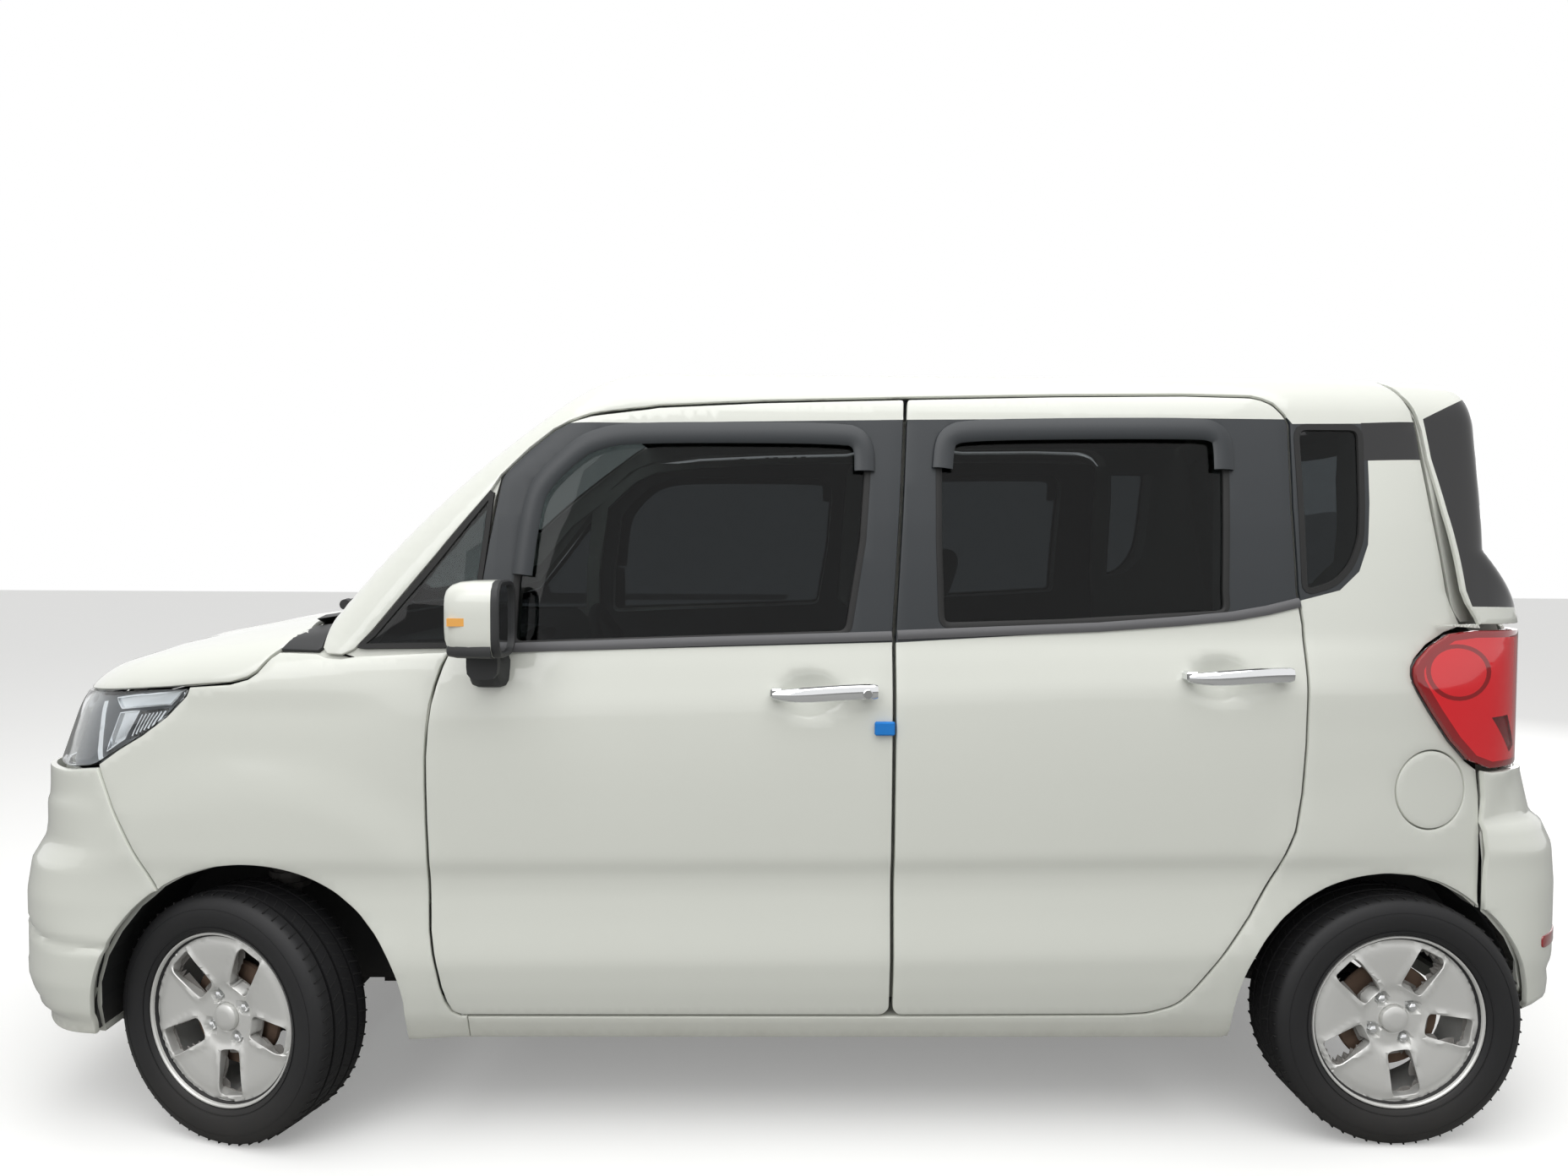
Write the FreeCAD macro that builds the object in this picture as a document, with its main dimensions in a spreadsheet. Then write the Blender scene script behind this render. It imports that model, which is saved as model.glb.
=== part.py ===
import FreeCAD, Part
import math
import os
import Sketcher

# Light box car: every solid is built in millimetres, front towards -X, left side
# towards -Y, up +Z, with the origin on the floor under the middle of the body.

V = FreeCAD.Vector
doc = FreeCAD.newDocument("light_car")

# Driving dimensions, kept as plain numbers in the sheet
SIZES = {
    "body_length": 3595, "body_width": 1595, "body_height": 1700,
    "wheelbase": 2520, "front_overhang": 615, "track": 1408,
    "tyre_radius": 272, "tyre_width": 165, "rim_radius": 191, "rim_width": 140,
    "bead_radius": 176, "cap_radius": 29, "bolt_circle": 100, "bolt_radius": 7,
    "window_inner": 73, "window_outer": 168, "window_width": 50, "window_turn": -81,
    "disc_radius": 115, "disc_thickness": 12,
    "kingpin_offset": 669, "rest_steer": 18,
    "half_gap": 4, "seat_gap": 0.3, "skin_depth": 20, "frame_depth": 70,
    "door_depth": 70, "door_step": 14, "glass_depth": 5, "glass_inset": 10,
    "bonnet_depth": 20, "lid_depth": 70, "bumper_depth": 20, "lamp_depth": 70,
    "roof_depth": 20, "front_arch_x": -1154.5, "front_arch_radius": 340,
    "rear_arch_x": 1306.5, "rear_arch_radius": 326, "liner_depth": 5,
    "door_bottom": 280, "sill_bottom": 222, "belt_height": 1108,
    "floor_bottom": 224, "floor_depth": 26, "rear_floor_bottom": 400,
    "flap_radius": 85, "flap_x": 1399, "flap_z": 780,
    "seat_x": 20, "seat_y": 355, "seat_height": 480, "bench_x": 860,
    "wheel_hand_radius": 178, "wheel_hand_x": -300, "wheel_hand_z": 985,
    "hand_tube": 14, "column_tilt": 62,
    "engine_x": -1540, "engine_z": 300, "engine_length": 400, "engine_width": 640,
    "engine_height": 430, "tank_x": 720, "tank_y": -400, "tank_z": 225, "tank_length": 290,
    "tank_width": 680, "tank_height": 174.7, "window_count": 5, "bolt_count": 4,
    "arc_runs": 3, "round_sides": 20, "wheel_sides": 40, "seat_width": 480,
    "cushion_length": 490, "cushion_height": 180, "seat_frame_z": 250.3,
    "seat_frame_height": 49.7, "seat_back_depth": 100, "seat_back_height": 700,
    "seat_back_lean": 13, "head_depth": 80, "head_width": 250, "head_height": 170,
    "pin_width": 12, "pin_height": 80, "bench_width": 1000, "bench_length": 430,
    "bench_z": 426.3, "bench_height": 134, "bench_back_depth": 110,
    "bench_back_height": 640, "bench_back_lean": 11,
}
sheet = doc.addObject("Spreadsheet::Sheet", "Sizes")
for row, (alias, value) in enumerate(SIZES.items(), start=1):
    sheet.set("A%d" % row, alias)
    sheet.set("B%d" % row, str(value))
    sheet.setAlias("B%d" % row, alias)
doc.recompute()


def size(alias):
    return float(sheet.get(alias))


HALF_LENGTH = size("body_length") / 2
HALF_WIDTH = size("body_width") / 2
HEIGHT = size("body_height")
FRONT_AXLE = -HALF_LENGTH + size("front_overhang")
REAR_AXLE = FRONT_AXLE + size("wheelbase")
HUB = size("tyre_radius")
WHEEL_Y = size("track") / 2
GAP = size("half_gap")
SEAT = size("seat_gap")
FAR = 2500.0
nodes = []


# Outlines made of straight runs and three-point arcs, the arcs taken in a few chords.
# A point is (a, b); an arc is written as ("arc", mid, end).
def wire_from(points, place):
    spots = [place(points[0])]
    last = points[0]
    for point in list(points[1:]):
        if point[0] == "arc":
            arc = Part.Arc(place(last), place(point[1]), place(point[2])).toShape()
            spots += arc.discretize(int(size("arc_runs")) + 1)[1:]
            last = point[2]
        else:
            spots.append(place(point))
            last = point
    if (spots[0] - spots[-1]).Length < 1e-6:
        spots.pop()
    return Part.makePolygon(spots + [spots[0]])


def side_wire(points):
    return wire_from(points, lambda p: V(p[0], -FAR, p[1]))


def plan_wire(points, z=-200.0):
    return wire_from(points, lambda p: V(p[0], p[1], z))


def section_wire(points):
    return wire_from(points, lambda p: V(-FAR, p[0], p[1]))


def offset_face(wire, inset):
    if inset:
        spots = [corner.Point for corner in wire.makeOffset2D(-inset).OrderedVertexes]
        wire = Part.makePolygon(spots + [spots[0]])
    return Part.Face(wire)


def side_prism(points, inset=0.0):
    return offset_face(side_wire(points), inset).extrude(V(0, 2 * FAR, 0))


def half_side_prism(points, side, inset=0.0):
    prism = offset_face(side_wire(points), inset).extrude(V(0, FAR - 150, 0))
    return prism if side < 0 else mirror(prism)


def mirror(shape):
    copy = shape.mirror(V(0, 0, 0), V(0, 1, 0))
    return copy if copy.Volume > 0 else copy.reversed()


def box(x0, x1, y0, y1, z0, z1):
    return Part.makeBox(x1 - x0, y1 - y0, z1 - z0, V(x0, y0, z0))


def ring_points(radius, sides):
    turns = [2 * math.pi * (step + 0.5) / sides for step in range(sides)]
    return [V(radius * math.cos(turn), radius * math.sin(turn), 0) for turn in turns]


def rod(start, end, radius, sides=0):
    # A round bar with flat sides, light enough for a whole vehicle
    run = V(*end) - V(*start)
    spots = ring_points(radius, sides or int(size("round_sides")))
    bar = Part.Face(Part.makePolygon(spots + [spots[0]])).extrude(V(0, 0, run.Length))
    bar.Placement = FreeCAD.Placement(V(*start), FreeCAD.Rotation(V(0, 0, 1), run))
    return bar


def cylinder_y(x, z, radius, y0, y1):
    return rod((x, y0, z), (x, y1, z), radius, 2 * int(size("round_sides")))


def lathe(points, sides):
    # A turned form round the Y axis with flat sides; a point is (distance, radius)
    rings = []
    for step in range(sides):
        turn = 2 * math.pi * step / sides + math.pi / 2
        rings.append([V(r * math.cos(turn), y, r * math.sin(turn)) for y, r in points])
    faces = []
    for index, near in enumerate(rings):
        far = rings[(index + 1) % sides]
        for at in range(len(points)):
            to = (at + 1) % len(points)
            corners = [near[at], near[to], far[to]]
            if points[at][1] > 0:
                corners.append(far[at])
            if points[to][1] == 0:
                corners.remove(far[to])
            if len(corners) > 2:
                faces.append(Part.Face(Part.makePolygon(corners + [corners[0]])))
    skin = Part.makeShell(faces)
    skin.sewShape()
    solid = Part.makeSolid(skin)
    return solid if solid.Volume > 0 else solid.reversed()


def bound_box(name, length, width, height, corner):
    # A box whose sides and corner follow the sheet
    item = doc.addObject("Part::Box", name)
    fields = ("Length", "Width", "Height", "Placement.Base.x", "Placement.Base.y",
              "Placement.Base.z")
    for field, formula in zip(fields, (length, width, height) + corner):
        item.setExpression(field, formula)
    return item


def bound_node(name, parts):
    # One node joined from pieces that follow the sheet
    node = parts[0]
    if len(parts) > 1:
        node = doc.addObject("Part::MultiFuse", name)
        node.Shapes = parts
    node.Label = name
    nodes.append(node)


def merged(solid):
    # Faces that lie on one surface become one face, where that works
    try:
        joined = solid.removeSplitter()
    except Part.OCCError:
        return solid
    return joined if joined.isValid() else solid


def tidy(shape):
    solids = [solid if solid.Volume > 0 else solid.reversed() for solid in shape.Solids]
    clean = [merged(solid) for solid in solids if solid.Volume > 500.0]
    return clean[0] if len(clean) == 1 else Part.makeCompound(clean)


def fuse(shapes):
    return shapes[0].multiFuse(shapes[1:]) if len(shapes) > 1 else shapes[0]


def add_node(name, shape, placement=None):
    piece = doc.addObject("Part::Feature", name)
    piece.Label = name
    piece.Shape = tidy(shape)
    if placement is not None:
        piece.Placement = placement
    nodes.append(piece)
    return piece


def add_pair(name, left_shape):
    add_node(name + "_left", left_shape)
    add_node(name + "_right", mirror(left_shape))


# Centre-line profiles in the side view: bumpers, bonnet to tail, and the cabin
SIDE_LOW = [
    (-1560, 215), (-1740, 240),
    ("arc", (-1782, 275), (-1797.5, 340)), (-1797.5, 520),
    ("arc", (-1788, 590), (-1755, 640)), (-1748, 760), (1720, 760), (1722, 705), (1770, 690),
    ("arc", (1792, 640), (1797.5, 560)), (1797.5, 400),
    ("arc", (1788, 300), (1740, 262)), (1560, 215),
]
SIDE_HIGH = [
    (-1700, 215), (-1750, 640), (-1748, 700), (-1716, 880),
    ("arc", (-1690, 960), (-1610, 1008)),
    ("arc", (-1400, 1076), (-1100, 1128)), (-850, 1250), (1560, 1250), (1612, 1186),
    ("arc", (1668, 1120), (1690, 1040)), (1718, 880), (1724, 640), (1690, 215),
]
SIDE_CABIN = [
    (-1900, 215), (-1900, 1279), (-200, 1718), (1180, 1722),
    ("arc", (1400, 1682), (1700, 1582)), (1900, 1500), (1900, 215),
]
SIDES = {"low": SIDE_LOW, "high": SIDE_HIGH, "cabin": SIDE_CABIN}

# Half section of the body in the front view; the other half is its mirror
SECTION = [
    (722, 180), (764, 285), (789, 410), (785, 622),
    ("arc", (795.5, 740), (797.5, 840)), ("arc", (795, 930), (786, 1000)),
    ("arc", (779, 1050), (768, 1098)), ("arc", (738, 1350), (703, 1552)),
    ("arc", (684, 1620), (630, 1662)), ("arc", (330, 1690), (0, 1700)),
]

# Plans: half outlines from the nose to the tail, mirrored about the centre line
LOW_PLAN = [
    (-1797.5, 0), ("arc", (-1776, 350), (-1722, 610)), ("arc", (-1648, 708), (-1520, 765)),
    ("arc", (-1300, 795), (-1050, 822)), (1130, 822), ("arc", (1340, 805), (1540, 772)),
    ("arc", (1680, 735), (1762, 630)), ("arc", (1788, 350), (1797.5, 0)),
]
HIGH_PLAN = [
    (-1750, 0), ("arc", (-1735, 300), (-1693, 560)), ("arc", (-1615, 690), (-1500, 752)),
    ("arc", (-1300, 793), (-1050, 822)), (1130, 822), ("arc", (1340, 797), (1520, 752)),
    ("arc", (1620, 700), (1672, 620)), ("arc", (1708, 350), (1724, 0)),
]
GLASS_PLAN = [
    (-1092, 0), ("arc", (-1070, 350), (-985, 700)), (-880, 840), (1060, 840),
    ("arc", (1320, 775), (1452, 735)), ("arc", (1530, 680), (1572, 590)),
    ("arc", (1606, 300), (1614, 0)),
]
HEADER_PLAN = [
    (-893, 0), ("arc", (-868, 350), (-783, 690)), (-660, 870), (4200, 870), (4200, 0),
]
GLASS_BASE = 1137.0
HEADER_BASE = 1379.0
TAIL_LEAN = -0.19
SCREEN_LEAN = 0.82
HEADER_LEAN = 1.3


def mirrored(points):
    # The same outline run back along the other side of the centre line
    flat = []
    for point in points:
        flat.append(point)
    back = []
    ends = [points[0]] + [p if p[0] != "arc" else p[2] for p in points[1:]]
    for index in range(len(points) - 1, 0, -1):
        point = points[index]
        target = ends[index - 1]
        if point[0] == "arc":
            back.append(("arc", (point[1][0], -point[1][1]), (target[0], -target[1])))
        else:
            back.append((target[0], -target[1]))
    return flat + back


def mirrored_section(points):
    flat = list(points)
    ends = [p if p[0] != "arc" else p[2] for p in points]
    for index in range(len(points) - 1, 0, -1):
        point = points[index]
        target = ends[index - 1]
        if point[0] == "arc":
            flat.append(("arc", (-point[1][0], point[1][1]), (-target[0], target[1])))
        else:
            flat.append((-target[0], target[1]))
    return flat


def plan_prism(points, inset, base=-200.0, lean=0.0, height=2400.0):
    face = offset_face(plan_wire(mirrored(points), base), inset)
    return face.extrude(V(lean * height, 0, height))


def leaning_prism(points, inset, level, lean):
    # A plan outline at one level, run down to the floor and up past the roof
    face = offset_face(plan_wire(mirrored(points), level), inset)
    face.translate(V(-lean * level, 0, -level))
    return face.extrude(V(lean * 2000, 0, 2000))


def common(shapes):
    result = shapes[0]
    for shape in shapes[1:]:
        result = result.common(shape)
    return result


hulls = {}


def hull(kind, inset=0.0):
    # Closed body of one zone: low (bumpers), high (fenders, bonnet) or cabin
    key = (kind, inset)
    if key in hulls:
        return hulls[key].copy()
    core = [side_prism(SIDES[kind], inset)]
    section = offset_face(section_wire(mirrored_section(SECTION)), inset)
    core.append(section.extrude(V(2 * FAR, 0, 0)))
    if kind == "low":
        core.append(plan_prism(LOW_PLAN, inset))
    if kind == "high":
        core.append(plan_prism(HIGH_PLAN, inset))
    if kind == "high":
        nose = [p for p in HIGH_PLAN[:4]] + [(1700, 840), (1700, 0)]
        core.append(plan_prism(nose, inset, base=700.0, lean=0.36, height=900.0)
                    .fuse(box(-FAR, FAR, -900, 900, -200, 700)))
    if kind == "cabin":
        tail = [(-1700, 0), (-1700, 840)] + [p for p in GLASS_PLAN[3:]]
        front = [p for p in GLASS_PLAN[:3]] + [(4200, 840), (4200, 0)]
        core.append(leaning_prism(tail, inset, GLASS_BASE, TAIL_LEAN))
        core.append(leaning_prism(front, inset, GLASS_BASE, SCREEN_LEAN))
        core.append(leaning_prism(HEADER_PLAN, inset, HEADER_BASE, HEADER_LEAN))
    hulls[key] = common(core)
    return hulls[key].copy()


def shell(kind, outer, inner, zone):
    # The wall of a zone between two depths under the skin
    return zone.common(hull(kind, outer)).cut(hull(kind, inner))


def side_sheet(outer, inner, zone):
    # The same wall on the straight part of the body side
    ring = [offset_face(section_wire(mirrored_section(SECTION)), depth).extrude(V(2 * FAR, 0, 0))
            for depth in (outer, inner)]
    return zone.common(ring[0]).cut(ring[1])


# Outlines of the left-hand panels in the side view, from the photograph
DOOR_FRONT = [
    (-697, 280), (215, 280), (231, 296), (231, 1108), (261, 1628), (-59, 1618),
    (-281, 1606), (-429, 1586), (-509, 1553), (-619, 1450), (-657, 1211), (-659, 1077),
    (-719, 1074), (-745, 1002), ("arc", (-765, 830), (-761, 642)), (-757, 476),
    ("arc", (-743, 330), (-697, 280)),
]
DOOR_REAR = [
    (231, 296), (245, 280), (790, 284), ("arc", (862, 315), (929, 399)), (1005, 506),
    ("arc", (1085, 640), (1112, 800)), (1117, 1028), (1115, 1136), (1105, 1208),
    (1101, 1391), (1105, 1575), ("arc", (1080, 1622), (1027, 1638)), (595, 1637),
    (261, 1628), (231, 1108),
]
WINDOW_FRONT = [
    (-583, 1090), (131, 1116), (177, 1496), ("arc", (166, 1539), (127, 1552)),
    (-371, 1545), ("arc", (-480, 1500), (-553, 1399)),
]
WINDOW_REAR = [
    (335, 1132), (949, 1162), (959, 1502), ("arc", (953, 1553), (905, 1568)),
    (387, 1560), ("arc", (345, 1545), (333, 1498)),
]
QUARTER_FRONT = [(-905, 1082), (-667, 1089), (-664, 1211), (-640, 1420)]
QUARTER_REAR = [
    (1122, 1210), ("arc", (1215, 1242), (1250, 1345)), (1259, 1562), (1122, 1562),
]
BONNET_SIDE = [
    (-1900, 948), (-1487, 978), (-1269, 992), (-1181, 1001),
    ("arc", (-1130, 1020), (-1099, 1057)), (-1053, 1103), (-1053, 1300), (-1900, 1300),
]
HEADLAMP_SIDE = [
    (-1900, 948), (-1487, 978), (-1269, 992), (-1277, 973), ("arc", (-1375, 888), (-1481, 825)),
    (-1513, 813), (-1560, 806), (-1900, 800),
]
BUMPER_FRONT_SIDE = [
    (-1900, 200), (-1500, 200), (-1390, 420), (-1341, 554), (-1395, 641), (-1441, 730),
    (-1477, 816), (-1513, 813), (-1560, 806), (-1900, 800),
]
BUMPER_REAR_SIDE = [
    (1521, 200), (1900, 200), (1900, 812), (1519, 818), (1525, 758), (1524, 620),
]
TAIL_LAMP_SIDE = [
    (1483, 1132), ("arc", (1389, 1092), (1349, 1029)), (1359, 1002), (1393, 948),
    (1441, 885), (1519, 818), (1900, 812), (1900, 1132),
]
TAILGATE_SIDE = [
    (1345, 1720), (1345, 1655), (1387, 1590), (1415, 1375), (1445, 1210),
    ("arc", (1458, 1165), (1483, 1138)), (1900, 1138), (1900, 1720),
]
LAMP_INNER = 600.0
HEADLAMP_INNER = 430.0
TAILGATE_BOTTOM = 700.0
BONNET_REAR = [
    (-1154, 0), ("arc", (-1132, 350), (-1053, 660)), (-1053, 900), (-2500, 900), (-2500, 0),
]


def panel(points, side=-1, inset=GAP):
    return half_side_prism(points, side, inset)


def wheel_arch(x, radius):
    turns = [math.pi * step / 16 for step in range(17)]
    curve = [(x - radius * math.cos(turn), HUB + radius * math.sin(turn)) for turn in turns]
    return side_prism(curve + [(x + radius, 100), (x - radius, 100)])


ARCH_FRONT = wheel_arch(size("front_arch_x"), size("front_arch_radius"))
ARCH_REAR = wheel_arch(size("rear_arch_x"), size("rear_arch_radius"))


DOOR_TOP_INNER = 622.0


# Doors: an outer flange over the jamb and a thinner inner box, window cut out
def door(outline, window):
    flange = side_sheet(0, size("skin_depth"), panel(outline))
    inner = side_sheet(size("skin_depth"), size("door_depth"),
                       panel(outline, -1, GAP + size("door_step")))
    opening = panel(window, -1, 0)
    return flange.fuse(inner).cut(opening).cut(box(-FAR, FAR, -DOOR_TOP_INNER, FAR, 0, 1800))


def door_glass(window):
    depth = size("glass_inset")
    return side_sheet(depth, depth + size("glass_depth"), panel(window, -1, 0))


add_pair("door_front", door(DOOR_FRONT, WINDOW_FRONT))
rear_door = door(DOOR_REAR, WINDOW_REAR).cut(
    cylinder_y(size("rear_arch_x"), HUB, size("rear_arch_radius") + 12, -FAR, FAR))
add_pair("door_rear", rear_door)
add_pair("door_glass_front", door_glass(WINDOW_FRONT))
add_pair("door_glass_rear", door_glass(WINDOW_REAR))


# Body sides: pillars, sill, quarter and roof rail round the door openings
DOOR_ROOM = [
    (-697, 280), (790, 284), ("arc", (862, 315), (929, 399)), (1005, 506),
    ("arc", (1085, 640), (1112, 800)), (1117, 1028), (1115, 1136), (1105, 1208),
    (1101, 1391), (1105, 1575), ("arc", (1080, 1622), (1027, 1638)), (595, 1637),
    (261, 1628), (-59, 1618), (-281, 1606), (-429, 1586), (-509, 1553), (-619, 1450),
    (-657, 1211), (-659, 1077), (-719, 1074), (-745, 1002), ("arc", (-765, 830), (-761, 642)),
    (-757, 476), ("arc", (-743, 330), (-697, 280)),
]
FRAME_SIDE = [
    (-700, 218), (1010, 218), (1521, 330), (1525, 800), (1519, 818),
    (1441, 885), (1359, 1002), (1349, 1029), (1389, 1092), (1483, 1132),
    (1445, 1210), (1415, 1375), (1387, 1590), (1345, 1655), (1300, 1668),
    (-420, 1668), (-560, 1590), (-700, 1478), (-830, 1350), (-1000, 1135),
    (-985, 1075), (-900, 1050), (-783, 1050), (-783, 640), (-745, 380), (-700, 300),
]
def wheel_room(end, outboard, inboard):
    # Room that a wheel housing takes, between two distances from the centre line
    radius = size(end + "_arch_radius") + 11 + SEAT
    return cylinder_y(size(end + "_arch_x"), HUB, radius, -outboard, -inboard)


JAMB_STEP = 34.0
JAMB_OUTER = size("door_depth") + 6
JAMB_INNER = JAMB_OUTER + 30
ROOF_EDGE = 612.0


def side_frame():
    # A wall as deep as the pillars, with a rabbet for the doors round each opening
    frame = shell("cabin", 0, JAMB_INNER, panel(FRAME_SIDE))
    rabbet = half_side_prism(DOOR_ROOM, -1, -GAP).cut(hull("cabin", JAMB_OUTER))
    frame = frame.cut(rabbet)
    for outline in (DOOR_FRONT, DOOR_REAR):
        frame = frame.cut(half_side_prism(outline, -1, JAMB_STEP))
    for outline in (QUARTER_FRONT, QUARTER_REAR):
        frame = frame.cut(half_side_prism(outline, -1, 0))
    frame = frame.cut(half_side_prism(TAIL_LAMP_SIDE, -1, -GAP))
    frame = frame.cut(half_side_prism(TAILGATE_SIDE, -1, -GAP))
    frame = frame.cut(ARCH_REAR).cut(ARCH_FRONT)
    return frame.cut(box(-FAR, FAR, -ROOF_EDGE, FAR, 0, 1800))


def seal(outline):
    # Rubber bead on the jamb that the closed door rests on
    depth = size("door_depth")
    bead = panel(outline, -1, SEAL_OUTER).cut(panel(outline, -1, SEAL_INNER))
    bead = side_sheet(depth + SEAT, JAMB_OUTER + 2, bead)
    bead = bead.cut(cylinder_y(size("rear_arch_x"), HUB, size("rear_arch_radius") + 20, -FAR, FAR))
    return bead.cut(box(-FAR, FAR, -DOOR_TOP_INNER, FAR, 0, 1800))


SEAL_OUTER = 22.0
SEAL_INNER = 30.0
kick = box(-965, -760, -712, -692, 240, 1050).cut(half_side_prism(DOOR_ROOM, -1, JAMB_STEP))
kick = kick.cut(wheel_room("front", 760, 429))
frame_solid = side_frame().cut(wheel_room("rear", 691, 500))
frame_solid = fuse([frame_solid, seal(DOOR_FRONT), seal(DOOR_REAR), kick])
flap_room = cylinder_y(size("flap_x"), size("flap_z"), size("flap_radius") + 5, -FAR, -690)
pocket = flap_room.cut(hull("cabin", 20))
pad = shell("cabin", 10 + SEAT, 24, cylinder_y(size("flap_x") + 50, size("flap_z"), 9, -FAR, -690))
add_node("side_frame_left", frame_solid.cut(pocket).fuse(pad))
add_node("side_frame_right", mirror(frame_solid))
flap = cylinder_y(size("flap_x"), size("flap_z"), size("flap_radius"), -FAR, -690)
add_node("fuel_flap", shell("cabin", 0, 10, flap))
depth = size("glass_inset")
quarters = [side_sheet(depth, depth + size("glass_depth"), panel(outline, -1, 0))
            for outline in (QUARTER_FRONT, QUARTER_REAR)]
quarters = Part.makeCompound(quarters)
add_pair("fixed_glass", quarters)

# Roof panel between the side frames, from the windscreen to the tailgate
SCREEN_TOP = -452.0
TAILGATE_FRONT = 1345.0
roof = shell("cabin", 0, size("roof_depth"),
             box(SCREEN_TOP, TAILGATE_FRONT - 2 * GAP, -ROOF_EDGE, ROOF_EDGE, 1500, 1800))
add_node("roof_panel", roof)

# Windscreen between the pillars, over the cowl
SCREEN_BASE = 1132.0
screen = shell("cabin", 10, 15, box(-1300, SCREEN_TOP, -ROOF_EDGE, ROOF_EDGE, SCREEN_BASE, 1700))
add_node("windscreen", screen)

# Cowl and scuttle: black tray between bonnet and windscreen, joined to the firewall
bonnet_room = plan_prism(BONNET_REAR, -2 * GAP)
cowl = shell("high", 0, 20, box(-1200, -940, -640, 640, 1040, 1131).cut(bonnet_room))
cowl = cowl.cut(half_side_prism(FRAME_SIDE, -1, -GAP)).cut(half_side_prism(FRAME_SIDE, 1, -GAP))
firewall = box(-965, -935, -690, 690, 216, 1040).fuse(box(-965, -935, -608, 608, 1030, 1131))
firewall = firewall.common(hull("high", 10))
rail_room = box(-1000, -900, 379, 431, 210, 401)
firewall = firewall.cut(rail_room).cut(mirror(rail_room))
front_room = wheel_room("front", 760, 429)
firewall = firewall.cut(front_room).cut(mirror(front_room))
add_node("cowl", cowl.fuse(firewall))

# Front fenders: from the headlamp and bumper back to the door
FENDER_SIDE = [
    (-1341, 554), (-1395, 641), (-1441, 730), (-1477, 816), (-1481, 825),
    ("arc", (-1375, 888), (-1277, 973)), (-1269, 992), (-1181, 1001),
    ("arc", (-1130, 1020), (-1099, 1057)), (-1053, 1103), (-1010, 1128), (-985, 1075),
    (-900, 1050), (-783, 1050), (-719, 1074), (-745, 1002), ("arc", (-765, 830), (-761, 642)),
    (-757, 476), ("arc", (-743, 330), (-697, 280)), (-700, 222), (-960, 222),
]
FENDER_INNER = 560.0
fender = shell("high", 0, 20, panel(FENDER_SIDE, -1, GAP))
fender = fender.cut(half_side_prism(DOOR_ROOM, -1, -GAP))
fender = fender.cut(ARCH_FRONT)
fender = fender.cut(half_side_prism(FRAME_SIDE, -1, -GAP))
fender = fender.cut(box(-FAR, FAR, -FENDER_INNER, FAR, 0, 1800))
fender = fender.cut(box(-FAR, FAR, -715, FAR, 0, 300))
add_pair("fender", fender)

# Wheel housings: liners over each wheel, the rear ones part of the floor
def liner(x, radius, outboard, inboard, bottom, wall_bottom):
    ring = cylinder_y(x, HUB, radius + 11, outboard, inboard)
    ring = ring.cut(cylinder_y(x, HUB, radius + 6, outboard, inboard))
    ring = ring.common(box(x - 500, x + 500, outboard, inboard, bottom, 900))
    wall = cylinder_y(x, HUB, radius + 11, inboard - 5, inboard)
    wall = wall.common(box(x - 500, x + 500, outboard, inboard, wall_bottom, 900))
    return ring.fuse(wall)


front_liner = liner(size("front_arch_x"), size("front_arch_radius"), -760, -430, 226, 226)
front_liner = front_liner.common(hull("high", 20 + SEAT))
rear_liner = liner(size("rear_arch_x"), size("rear_arch_radius"), -690.5, -520, 300, 350)
add_pair("wheel_liners", Part.makeCompound([front_liner, rear_liner]))

# Floor: pan, tunnel, heel board, raised rear floor and rear wheel housings
FLOOR_HALF = 612.0 - SEAT
low = size("floor_bottom")
thick = size("floor_depth")
rear_low = size("rear_floor_bottom")
floor = box(-930, 620, -FLOOR_HALF, FLOOR_HALF, low, low + thick)
tunnel = box(-930, 620, -110, 110, low, low + 110)
tunnel_room = box(-930, 630, -85, 85, low - 1, low + 85)
heel = box(600, 626, -FLOOR_HALF, FLOOR_HALF, low, rear_low + thick)
rear_floor = box(600, 1600, -700, 700, rear_low, rear_low + thick)
rear_floor = rear_floor.common(hull("cabin", JAMB_INNER + SEAT))
rear_panel = box(1574, 1600, -560, 560, 300, 640)
rails = box(-1600, -930, 380, 429.7, 330, 400)
mounts = box(-1400, -1360, 320 + SEAT, 382, 330, 400)
rails = fuse([rails, box(-980, -925, 380, 429.7, low, 400), mounts])
support = box(-1600, -1560, -598, 598, 330, 890).cut(box(-1700, -1500, -360, 360, 400, 800))
lamp_back = box(-1720, -1560, 440, 640, 810, 880)
support = fuse([support, lamp_back, mirror(lamp_back)]).common(hull("high", 70 + SEAT))
brackets = [box(-1760, -1590, 200, 230, 860, 885), box(-1760, -1590, 330, 360, 860, 1000)]
brackets = [rib.common(hull("high", 20 + SEAT)) for rib in brackets]
bracket = box(-1790, -1590, 520, 550, 560, 600).common(hull("low", 20 + SEAT))
brackets.append(bracket.common(hull("high", 0)))
corner = box(1500, 1720, 530, LAMP_INNER - SEAT, 420, 1110).common(hull("high", 70 + SEAT))
rear_rib = box(1590, 1790, 300, 330, 560, 600).common(hull("low", 20 + SEAT))
ribs = brackets + [corner, rear_rib]
floor_all = [floor, tunnel, heel, rear_floor, rear_panel, rails, mirror(rails), support]
floor_all = fuse(floor_all + ribs + [mirror(rib) for rib in ribs])
floor_all = floor_all.cut(tunnel_room)
for room in (wheel_room("rear", 900, 520 - SEAT), wheel_room("front", 900, 430 - SEAT)):
    floor_all = floor_all.cut(room).cut(mirror(room))
add_node("floor_pan", floor_all)

# Bonnet, hinged at the cowl
bonnet = shell("high", 0, size("bonnet_depth"), side_prism(BONNET_SIDE, GAP))
bonnet = bonnet.common(plan_prism(BONNET_REAR, 0))
add_node("bonnet", bonnet)

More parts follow.
